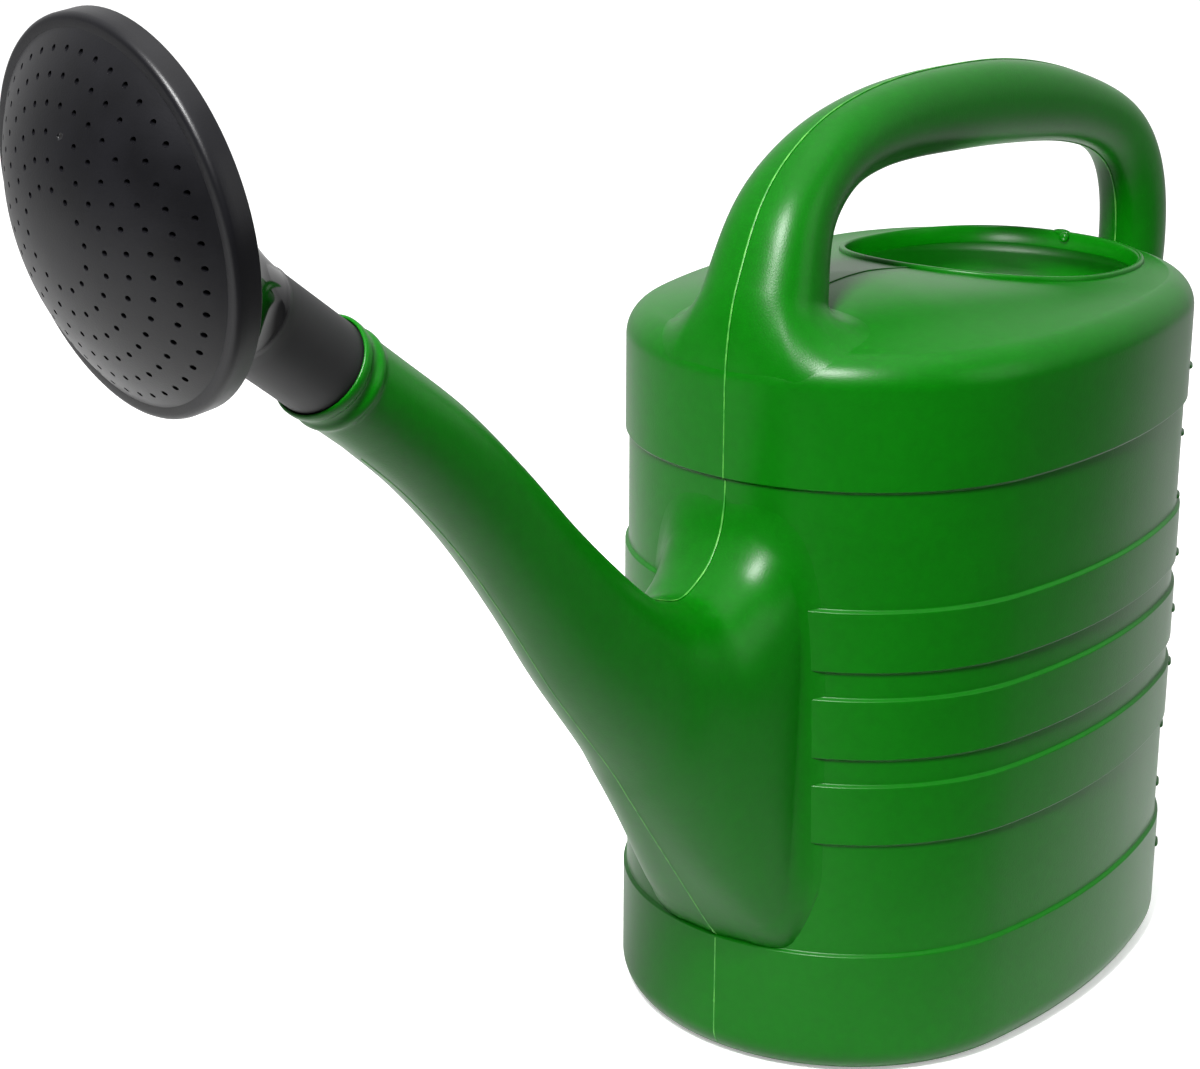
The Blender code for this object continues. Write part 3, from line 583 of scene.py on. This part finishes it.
def spout_grid():
    """The inside towards the open end, the socket, the rim, groove and bead, then the outside back to the
    tank."""
    t = np.linspace(0, 1, SPOUT_ROWS)
    inside = bend_rows(t[:INSIDE_END:3], WALL)[::-1]
    seat = NECK_RADIUS + GAP
    bore = PLUG_RADIUS + GAP
    depths = [STRAIGHT - BORE_SHORT, SEAT + BORE_STEP, SEAT, EDGE_EASE, 0.0]
    socket = round_rows(depths, [bore, bore, seat, seat, seat + EDGE_EASE])
    places, heights = np.array(BEADS).T
    bead = round_rows(places * MM, SPOUT_RADIUS + BEAD_TALL * heights)
    grid = np.concatenate([inside, socket, bead, bend_rows(t, 0.0)])
    buried = grid[-1:] - np.array([ROOT_BURIED, 0, 0])
    return np.concatenate([grid, buried])


# ---- handle --------------------------------------------------------------------------------------------
GRIP_X = (107, 97, 73, 44, 14, -18, -51, -80, -106, -128, -147, -163, -175, -183, -186.1, -185, -176, -160)
GRIP_Z = (300, 326, 343, 350, 352, 351.5, 350, 347, 343, 338, 332, 324, 313, 298, 280, 259, 236, 219)
GRIP_DEEP = (19.5, 16, 14.4, 15, 16, 16.8, 17, 16.4, 15.2, 14.2, 13.8, 14.2, 15, 15.8, 16.3, 16.4, 16.2, 16.4)
GRIP_WIDE = (23, 19, 15.6, 13.6, 12.6, 12.2, 12, 12, 12, 12, 12.2, 12.6, 13, 13.3, 13.5, 13.6, 14, 15.2)
GRIP_AROUND = 96
GRIP_POWER = 2.35
GRIP_ROWS = 220
GRIP_SOFTENED = 30
FOOT_X = 0.103
FOOT_AHEAD = 44.0 * MM
FOOT_BEHIND = 24.0 * MM
FOOT_ASIDE = 42.0 * MM
FOOT_POWER = 2.2
FOOT_PULL = 0.9
FOOT_SUNK = 0.12 * MM
FOOT_STEP = 0.4 * MM
HEEL_Z = 0.203
HEEL_REACH = 27.0 * MM
HEEL_SUNK = 0.3 * MM
FRONT_BURIED = np.array([1.0, 0.0, 1.0]) * MM
BACK_BURIED = np.array([1.2, 0.0, 0.0]) * MM


def even(points, count):
    """Points spaced evenly along the smooth curve through the given ones."""
    t = np.linspace(0, 1, 2000)
    fine = spline(points, t)
    run = np.concatenate([[0], np.cumsum(np.linalg.norm(np.diff(fine[:, :2], axis=0), axis=1))])
    return spline(points, np.interp(np.linspace(0, run[-1], count), run, t))


def soften(values, times):
    """Averages each row with its neighbours, keeping the ends."""
    out = np.array(values, float)
    for _ in range(times):
        out[1:-1] = (out[:-2] + 2 * out[1:-1] + out[2:]) / 4
    return out


def grip_rows():
    """Oval sections square to the handle's centre line, from above the front foot to above the back one."""
    table = np.column_stack([GRIP_X, GRIP_Z, GRIP_DEEP, GRIP_WIDE]) * MM
    table = soften(even(table, GRIP_ROWS), GRIP_SOFTENED)
    place = table[:, :2]
    run = unit(np.gradient(place, axis=0))
    normal = np.column_stack([run[:, 1], -run[:, 0]])
    up, across = rounded(GRIP_POWER, GRIP_AROUND)
    x = place[:, :1] + normal[:, :1] * table[:, 2:3] * up
    z = place[:, 1:] + normal[:, 1:] * table[:, 2:3] * up
    y = table[:, 3:4] * across
    return np.stack([x, y, z], -1)


def shoulder_point(x, y):
    """Point of the tank's top above a place in plan; a place past the turn's start is carried on round the
    turn and down the wall by the same distance, so that a blend can run from the deck to the wall without a
    break."""
    run = SHOULDER_RADIUS * (1 - math.cos(SHOULDER_TURN))
    turn_long = SHOULDER_RADIUS * SHOULDER_TURN
    inward = PROUD - oval_distance(x, y)
    s = turn_long - (run - inward)
    angle = np.clip(s / SHOULDER_RADIUS, 0, None)
    reach = np.hypot(x - END_CENTRE, y)
    real = END_RADIUS + PROUD - SHOULDER_RADIUS * (1 - np.cos(angle))
    turned = inward < run
    scale = np.where(turned, real / reach, 1.0)
    z_turn = SHOULDER_BEND + SHOULDER_RADIUS * np.sin(angle) + np.clip(s, None, 0)
    z = np.where(turned, z_turn, deck_height(x, y))
    return np.column_stack([END_CENTRE + (x - END_CENTRE) * scale, y * scale, z])


def front_foot(ring, leave):
    """Blend from the front leg down to the tank: it leaves along the leg and arrives lying along the deck
    at the back, along the shoulder at the sides and along the wall in front."""
    up, across = (row[0] for row in rounded(FOOT_POWER, GRIP_AROUND))
    along = np.where(up > 0, FOOT_AHEAD, FOOT_BEHIND) * up
    x = FOOT_X + along
    y = FOOT_ASIDE * across
    out = unit(np.column_stack([along, y]))
    ahead = shoulder_point(x + out[:, 0] * FOOT_STEP, y + out[:, 1] * FOOT_STEP)
    behind = shoulder_point(x - out[:, 0] * FOOT_STEP, y - out[:, 1] * FOOT_STEP)
    arrive = unit(ahead - behind)
    normal = unit(np.cross(arrive, np.column_stack([-out[:, 1], out[:, 0], 0 * x])))
    normal *= np.where(normal[:, 2:] + 0.2 * normal[:, :1] < 0, -1.0, 1.0)
    foot = shoulder_point(x, y) - FOOT_SUNK * normal
    return blend(ring, FOOT_PULL * leave, foot, FOOT_PULL * arrive, 40)


def back_foot(ring, leave):
    """Blend from the back leg to the rear wall: it leaves along the leg and arrives lying along the wall."""
    up, across = (row[0] for row in rounded(FOOT_POWER, GRIP_AROUND))
    y = HEEL_REACH * across
    rise = -HEEL_REACH * up
    depth = np.sqrt(END_RADIUS**2 - y**2)
    foot = np.column_stack([HEEL_SUNK - END_CENTRE - depth, y, HEEL_Z + rise])
    arrive = unit(np.column_stack([0 * y, y, rise]))
    arrive[:, 0] = y / depth * arrive[:, 1]
    return blend(ring, leave, foot, FOOT_PULL * arrive, 30)


def handle_grid():
    """Front foot, grip and back foot as one run of rows, with both ends buried in the tank and closed."""
    rows = grip_rows()
    front = front_foot(rows[0], unit(rows[0] - rows[1]))[::-1]
    back = back_foot(rows[-1], unit(rows[-1] - rows[-2]))
    ends = front[:1] - FRONT_BURIED, back[-1:] + BACK_BURIED
    return closed(np.concatenate([ends[0], front[:-1], rows, back[1:], ends[1]]))


# ---- mould seam, flash, litre marks ----------------------------------------------------------------------
SEAM_HALF = 0.32 * MM
SEAM_TALL = 0.2 * MM
SEAM_SUNK = 0.3 * MM
MARK_PLACE = (-0.0816, 0.0791)
MARK_HEIGHTS = (36.3, 64.3, 91.1, 119.2, 142.9, 167.6, 192.4, 219.0, 247.3)
MARK_HALF_LONG = 5.0 * MM
MARK_TALL = 0.9 * MM
MARK_PROUD = 1.1 * MM
MARK_ROWS = 15
MARK_AROUND = 16
MARK_END = 0.98
SEAM_ACROSS = np.array([-1.0, -0.6, 0.0, 0.6, 1.0, 0.0]) * SEAM_HALF
SEAM_FLANK = 0.75 * SEAM_TALL
SEAM_LIFT = np.array([-SEAM_SUNK, SEAM_FLANK, SEAM_TALL, SEAM_FLANK, -SEAM_SUNK, -1.5 * SEAM_SUNK])
NUB_SHARE = 0.012
SEAM_LOW = 4.0 * MM
SEAM_FOOT_TOP = 50.5 * MM
SEAM_CHIN = (232.5 * MM, 266.5 * MM)
SEAM_BACK_TOP = 176.0 * MM
DECK_SEAM_FRONT = 79.5 * MM
DECK_SEAM_BACK = -124.0 * MM
FLASH_LUMPS = (((0.0, 0.5, -0.6), (1.9, 4.2, 1.4)), ((2.2, 2.8, -2.2), (1.6, 2.2, 2.2)))


def ridge(path, side, nubs=()):
    """A fine raised line along a path in the mould's plane. Its section is a low hump, sunk a little at its
    foot; side picks which way is outwards, and each nub (share of the path, size) swells it by a bell
    curve."""
    path = np.asarray(path, float)
    run = unit(np.gradient(path, axis=0))
    normal = side * np.column_stack([run[:, 1], -run[:, 0]])
    swell = np.ones(len(path))
    length = np.linspace(0, 1, len(path))
    for share, size in nubs:
        swell = swell + size * np.exp(-((length - share) / NUB_SHARE) ** 2)
    y = SEAM_ACROSS * np.sqrt(swell)[:, None]
    lift = np.where(SEAM_LIFT > 0, SEAM_LIFT * swell[:, None], SEAM_LIFT)
    x = path[:, :1] + normal[:, :1] * lift
    z = path[:, 1:] + normal[:, 1:] * lift
    return closed(np.stack([x, y, z], -1))


def wall_path(low, high, sign, count=120):
    """The wall's outline in the mould's plane between two heights, at the front or at the back."""
    z = np.linspace(low, high, count)
    turn = np.clip((BASE_ROUND - z) / BASE_ROUND, 0, 1)
    out = HALF_LENGTH + proud(z) - BASE_ROUND * (1 - np.sqrt(1 - turn**2))
    return np.column_stack([sign * out, z])


def seam_grids():
    """The seam: up the front of the base, under and over the spout, up the shoulder, over the handle, down
    behind."""
    upper, lower, _ = spout_edges(np.linspace(0.02, 0.985, 220))
    handle = handle_grid()[3:-3]
    return [ridge(wall_path(SEAM_LOW, SEAM_FOOT_TOP, 1), 1, ((0.42, 1.6),)),
            ridge(lower[::-1], 1, ((0.03, 2.0),)),
            ridge(upper, -1),
            ridge(wall_path(*SEAM_CHIN, 1), 1),
            ridge(handle[:, 0][:, [0, 2]], -1),
            ridge(handle[:, GRIP_AROUND // 2][:, [0, 2]], 1),
            ridge(wall_path(SEAM_LOW, SEAM_BACK_TOP, -1), -1)]


def deck_seam():
    """The seam across the deck, a shade darker: from behind the front leg to the lip, and behind the lip."""
    out = []
    reach = MOUTH_LONG + LIP_WIDE
    for first, last in ((DECK_SEAM_FRONT, MOUTH_X + reach), (MOUTH_X - reach, DECK_SEAM_BACK)):
        x = np.linspace(first, last, 40)
        out.append(ridge(np.column_stack([x, deck_height(x, 0 * x)]), -1))
    return out


def lump(middle, sizes, around=24, rows=13):
    """A squashed ball: rings of cos(latitude) at sin(latitude), each axis with its own half size."""
    rise = np.linspace(-0.5, 0.5, rows)[:, None] * math.pi * 0.998
    turn = np.linspace(0, 2 * math.pi, around, endpoint=False)[None, :]
    ball = np.stack([np.cos(rise) * np.cos(turn), np.cos(rise) * np.sin(turn), np.sin(rise) + 0 * turn], -1)
    return np.asarray(middle) + ball * np.asarray(sizes)


def rim_flash():
    """Flash left on the back of the lip where the mould closed: two lumps that run into each other."""
    back = np.array([MOUTH_X - MOUTH_LONG - 0.5 * LIP_WIDE, 0.0, MOUTH_Z - MOUTH_FRONT_RISE + LIP_TALL])
    return [lump(back + np.array(place) * MM, np.array(sizes) * MM) for place, sizes in FLASH_LUMPS]


def litre_marks():
    """Raised bars up the back corner of the wall, one for each litre: a rounded section swept along the
    wall, that shrinks to its ends as the square root of 1 - s^4."""
    away = np.array(MARK_PLACE) + np.array([END_CENTRE, 0.0])
    middle_turn = math.atan2(away[1], away[0])
    turn = middle_turn + np.linspace(-1, 1, MARK_ROWS) * MARK_HALF_LONG / END_RADIUS
    turn = turn[:, None]
    section = np.linspace(0, 2 * math.pi, MARK_AROUND, endpoint=False)
    taper = np.sqrt(1 - np.linspace(-MARK_END, MARK_END, MARK_ROWS) ** 4)[:, None]
    out = []
    for height in MARK_HEIGHTS:
        z = height * MM
        reach = END_RADIUS + float(proud(z)) + MARK_PROUD * np.cos(section) * taper
        x = reach * np.cos(turn) - END_CENTRE
        y = reach * np.sin(turn)
        out.append(closed(np.stack([x, y, z + MARK_TALL * np.sin(section) * taper], -1)))
    return out


# ---- rose ----------------------------------------------------------------------------------------------
ROSE_AROUND = 128
NECK_START = 2.0 * MM
NECK_STOP = 1.2 * MM
NECK_BEAD_BACK = 0.6 * MM
NECK_BEAD = 0.25 * MM
NECK_EASE = 0.3 * MM
PLUG_TAPER = 0.8 * MM
PLUG_NOSE = 1.5 * MM
FUNNEL_RIM = RIM_RADIUS - RIM_WALL - GAP
FUNNEL_LIP = RIM_DEEP - 1.6 * MM
FUNNEL_LEAVE = 0.75
FUNNEL_ARRIVE = 0.9
FUNNEL_OUTWARD = 0.8
FUNNEL_ONWARD = 0.45
DOME_POWER = 2.22
CENTRE_RING = 0.02 * MM
FIRST_RING = 0.5 * MM
UNDER_RING = 44.5 * MM
FACE_INNER = RIM_RADIUS - RIM_WALL
FACE_BACK = RIM_DEEP - 1.3 * MM
RIM_SECTION = ((52.3, 7.0), (54.2, 7.0), (54.9, 6.85), (55.5, 6.4), (55.85, 5.8), (56.0, 5.1), (56.0, 3.0),
               (56.0, 1.0), (56.0, -0.7), (55.7, -1.0), (54.5, -1.0), (54.2, -0.7))
PIN_BELOW = 4.5 * MM
PIN_ABOVE = 3.0 * MM
HOLE_SHARP = 35.0


def ring_about(middle, one, other, radius, around):
    """Circle round a point in the plane of two square directions."""
    t = np.linspace(0, 2 * math.pi, around, endpoint=False)[:, None]
    return middle + radius * (np.cos(t) * one + np.sin(t) * other)


def neck_ring(s, radius):
    """Circle square to the spout's line, at the distance s beyond the spout's end."""
    return ring_about(SPOUT_END + LINE * s, -LEAN, ACROSS, radius, ROSE_AROUND)


def face_ring(h, radius):
    """Circle square to the rose's axis, at the height h over the rim's plane, that starts on the neck's
    side."""
    up = ROSE_UP if np.dot(ROSE_UP, -LEAN) > 0 else -ROSE_UP
    return ring_about(RIM_CENTRE + FACING * h, up, ACROSS, radius, ROSE_AROUND)


def funnel_rows(inset, count):
    """Sweep from the end of the round neck to the tilted rim: leaves along the neck, arrives flaring
    outwards."""
    first = neck_ring(NECK_LONG, NECK_RADIUS - inset)
    last = face_ring(0.6 * inset, FUNNEL_RIM - inset)
    arrive = FUNNEL_OUTWARD * unit(last - RIM_CENTRE) + FUNNEL_ONWARD * FACING
    return blend(first, FUNNEL_LEAVE * LINE, last, FUNNEL_ARRIVE * arrive, count)


def funnel_grid():
    """Plug, shelf and neck as circles along the spout's line, the flare to the rim, and the inside back
    again."""
    shelf = GAP - SEAT
    steps = [(-PLUG_LONG, PLUG_RADIUS - PLUG_TAPER), (PLUG_NOSE - PLUG_LONG, PLUG_RADIUS)]
    steps += [(shelf, PLUG_RADIUS), (shelf, NECK_RADIUS - NECK_EASE), (shelf + NECK_EASE, NECK_RADIUS)]
    steps += [(s, NECK_RADIUS) for s in np.linspace(NECK_START, NECK_LONG - NECK_STOP, 8)]
    steps += [(NECK_LONG - NECK_BEAD_BACK, NECK_RADIUS + NECK_BEAD)]
    outside = [neck_ring(s, radius) for s, radius in steps]
    lip = [face_ring(FUNNEL_LIP, radius) for radius in (FUNNEL_RIM, FUNNEL_RIM - ROSE_WALL)]
    inside = funnel_rows(ROSE_WALL, 40)[::-1]
    end = neck_ring(-PLUG_LONG, PLUG_RADIUS - ROSE_WALL)
    return np.concatenate([outside, funnel_rows(0.0, 60)[1:], lip, inside, [end]])


def dome(radius):
    """Height of the face over the rim plane: a soft dome that falls faster towards its edge."""
    share = np.minimum(radius / FACE_RADIUS, 1.0)
    return RIM_DEEP + FACE_RISE * (1 - share**DOME_POWER)


def face_grid():
    """Circles over the dome, round the rim, and back along the dome's underside, one wall's thickness
    lower."""
    rows = [(dome(0.0), CENTRE_RING)]
    rows += [(dome(r), r) for r in np.linspace(FIRST_RING, FACE_RADIUS, 46)]
    rows += [(h * MM, r * MM) for r, h in RIM_SECTION]
    rows += [(FACE_BACK, FACE_INNER), (FACE_BACK, FACE_RADIUS - FACE_WALL)]
    rows += [(dome(r + FACE_WALL) - FACE_WALL, r) for r in np.linspace(UNDER_RING, FIRST_RING, 24)]
    rows += [(dome(0.0) - FACE_WALL, CENTRE_RING)]
    return np.array([face_ring(h, radius) for h, radius in rows])


def spray_pins(sides=12):
    """Points and faces of all the pins that make the spray holes: prisms square to the face plane."""
    share = np.concatenate([np.full(n, s) for s, n in SPRAY_RINGS])
    offset = [0.5 * (k % 2) for k in range(len(SPRAY_RINGS))]
    turn = np.concatenate([2 * math.pi * (np.arange(n) + o) / n for (s, n), o in zip(SPRAY_RINGS, offset)])
    radius = (share * FACE_RADIUS)[:, None]
    turn = turn[:, None]
    middle = RIM_CENTRE + radius * (np.cos(turn) * ROSE_UP + np.sin(turn) * ACROSS)
    t = np.linspace(0, 2 * math.pi, sides, endpoint=False)[None, :, None]
    loop = HOLE_RADIUS * (np.cos(t) * ROSE_UP + np.sin(t) * ACROSS)
    height = dome(radius)
    low = middle + FACING * (height - PIN_BELOW)
    high = middle + FACING * (height + PIN_ABOVE)
    points = np.concatenate([low[:, None] + loop, high[:, None] + loop], 1).reshape(-1, 3)
    k = np.arange(len(middle))[:, None] * 2 * sides
    j = np.arange(sides)[None, :]
    m = (j + 1) % sides
    walls = np.stack([k + m, k + j, k + sides + j, k + sides + m], -1).reshape(-1, 4)
    bottoms = k + j
    tops = k + sides + (sides - 1 - j)
    return points, walls.tolist() + bottoms.tolist() + tops.tolist()


def drill(piece):
    """Takes the spray pins out of the face."""
    points, faces = spray_pins()
    mesh = bpy.data.meshes.new("spray_pins")
    mesh.from_pydata(points.tolist(), [], faces)
    tool = bpy.data.objects.new("spray_pins", mesh)
    bpy.context.scene.collection.objects.link(tool)
    tool.hide_render = True
    step = piece.modifiers.new("holes", "BOOLEAN")
    step.operation = "DIFFERENCE"
    step.solver = "EXACT"
    step.object = tool
    solid = bpy.data.meshes.new_from_object(piece.evaluated_get(bpy.context.evaluated_depsgraph_get()))
    piece.modifiers.clear()
    piece.data = solid
    bpy.data.objects.remove(tool)
    solid.polygons.foreach_set("use_smooth", np.ones(len(solid.polygons), bool))
    solid.set_sharp_from_angle(angle=math.radians(HOLE_SHARP))


# ---- studio --------------------------------------------------------------------------------------------
CAMERA_PLACE = (0.8859, 0.5249, 0.5109)
CAMERA_TURN = (72.042, -0.107, 127.685)
CAMERA_LENS = 79.0
SENSOR_WIDE = 36.0
FAR_CLIP = 50.0
# socket numbers of the colour mix: what light rays get, what the camera gets, and the result
FOR_LIGHT = 6
FOR_EYE = 7
MIXED = 2
SKY_AWAY = (-0.45, -0.35, 0.82)
FLOOR_AWAY = (0.25, 0.97, 0.0)
FLOOR_HALF = 6.0
FLOOR_GLOW = 0.4
# name, place, the point it looks at, width and height, watts
PANELS = (("key", (1.05, 0.31, 1.31), (0.08, 0.0, 0.2), (0.30, 0.45), 62.0),
          ("over", (0.0, 0.1, 1.9), (0.0, 0.0, 0.2), (1.4, 1.4), 8.0),
          ("right", (-0.3, 1.4, 0.8), (0.0, 0.0, 0.2), (0.9, 0.9), 5.0))
INSIDE_PLACE = (0.045, -0.005, 0.19)
INSIDE_POWER = 1.8
INSIDE_RADIUS = 0.03


def grey(value):
    """An even grey, given as light and not as a screen's code."""
    return (value, value, value, 1.0)


def place_in_scene(name, data, place):
    """A new object with this data, at a place in the scene."""
    obj = bpy.data.objects.new(name, data)
    obj.location = place
    bpy.context.scene.collection.objects.link(obj)
    return obj


def camera():
    """The camera, with the lens and the stand that the can is seen from."""
    data = bpy.data.cameras.new("camera")
    data.lens = CAMERA_LENS
    data.sensor_width = SENSOR_WIDE
    data.clip_end = FAR_CLIP
    obj = place_in_scene("camera", data, CAMERA_PLACE)
    obj.rotation_euler = Euler([math.radians(a) for a in CAMERA_TURN])
    bpy.context.scene.camera = obj


def panel(name, place, aim, size, power):
    """A soft rectangular lamp that looks at a point."""
    data = bpy.data.lights.new(name, "AREA")
    data.shape = "RECTANGLE"
    data.size, data.size_y = size
    data.energy = power
    obj = place_in_scene(name, data, place)
    obj.rotation_euler = (Vector(aim) - Vector(place)).to_track_quat("-Z", "Y").to_euler()


def inside_lamp():
    """A small lamp in the tank, for the daylight that comes through its translucent wall."""
    data = bpy.data.lights.new("daylight_inside", "POINT")
    data.energy = INSIDE_POWER
    data.shadow_soft_size = INSIDE_RADIUS
    place_in_scene("daylight_inside", data, INSIDE_PLACE)


def along_way(tree, place, way):
    """How far a place lies along a direction."""
    node = add(tree, "ShaderNodeVectorMath", {0: place}, operation="DOT_PRODUCT")
    node.inputs[1].default_value = way
    return node.outputs["Value"]


def eye_mix(tree):
    """Whether a ray comes from the camera, and a colour mix driven by it."""
    seen = add(tree, "ShaderNodeLightPath").outputs["Is Camera Ray"]
    return seen, add(tree, "ShaderNodeMix", {"Factor": seen}, data_type="RGBA")


def sky(tree):
    """White to the eye everywhere; as light it is bright behind and over the can and dim on the near side,
    like a white sweep with the room left dark."""
    back = tree.nodes["Background"]
    place = add(tree, "ShaderNodeTexCoord").outputs["Generated"]
    away = along_way(tree, place, SKY_AWAY)
    share = add(tree, "ShaderNodeMapRange", {"Value": away}, From_Min=-1.0, From_Max=1.0).outputs["Result"]
    _, mix = eye_mix(tree)
    tree.links.new(two_tone(tree, share, 0.40, 0.85, grey(0.06), grey(0.95)), mix.inputs[FOR_LIGHT])
    mix.inputs[FOR_EYE].default_value = grey(1.0)
    tree.links.new(mix.outputs[MIXED], back.inputs["Color"])


def pale_floor():
    """Matt white floor with faint flecks. To the eye it glows a little, so that it is white all over; as
    light it fades away from the far side to the near one."""
    mat, tree, shader = plastic("pale_floor", Roughness=0.8)
    place = add(tree, "ShaderNodeTexCoord").outputs["Object"]
    white = two_tone(tree, noise(tree, place, 3.0, 2.0), 0.0, 1.0, linear("#f4f4f4"), linear("#f8f8f8"))
    fade = add(tree, "ShaderNodeMapRange", {"Value": along_way(tree, place, FLOOR_AWAY)},
               interpolation_type="SMOOTHSTEP", From_Min=0.08, From_Max=0.38, To_Min=0.65, To_Max=0.08)
    seen, mix = eye_mix(tree)
    tree.links.new(fade.outputs["Result"], mix.inputs[FOR_LIGHT])
    tree.links.new(white, mix.inputs[FOR_EYE])
    tree.links.new(mix.outputs[MIXED], shader.inputs["Base Color"])
    glow = add(tree, "ShaderNodeMath", {0: seen}, operation="MULTIPLY")
    glow.inputs[1].default_value = FLOOR_GLOW
    tree.links.new(white, shader.inputs["Emission Color"])
    tree.links.new(glow.outputs[0], shader.inputs["Emission Strength"])
    return mat


def studio():
    """White floor and backdrop, soft panels round the can and the lamp inside it."""
    scene = bpy.context.scene
    scene.view_settings.view_transform = "Standard"
    scene.world = bpy.data.worlds.new("studio")
    scene.world.use_nodes = True
    sky(scene.world.node_tree)
    mat = pale_floor()
    mesh = bpy.data.meshes.new("floor")
    corners = [(x * FLOOR_HALF, y * FLOOR_HALF, 0) for x, y in ((-1, -1), (1, -1), (1, 1), (-1, 1))]
    mesh.from_pydata(corners, [], [(0, 1, 2, 3)])
    mesh.materials.append(mat)
    floor = place_in_scene("floor", mesh, (0.0, 0.0, 0.0))
    for settings in PANELS:
        panel(*settings)
    inside_lamp()


def main():
    """Builds every piece of the can, the rose and its face, then the camera and the studio."""
    green = moulded_polyethylene()
    flash = trimmed_flash()
    satin = satin_polypropylene()
    polished = polished_polypropylene()
    tank_nodes = ["can_base", "can_wall", "can_shoulder"]
    skin("tank", [tank_grid()], green, "can", tank_nodes, sharp=50.0)
    skin("spout", [spout_grid()], green, "can", ["can_spout"])
    skin("handle", [handle_grid()], green, "can", ["can_handle"])
    skin("mould_seam", seam_grids(), flash, "can", sharp=60.0)
    skin("deck_seam", deck_seam(), green, "can", sharp=60.0)
    skin("rim_flash", rim_flash(), green, "can", sharp=60.0)
    skin("litre_marks", litre_marks(), green, "can", sharp=60.0)
    skin("rose_body", [funnel_grid()], polished, "rose", ["rose_funnel"], loop=True)
    face = skin("rose_front", [face_grid()], satin, "face", ["rose_face"])
    drill(face)
    camera()
    studio()


main()
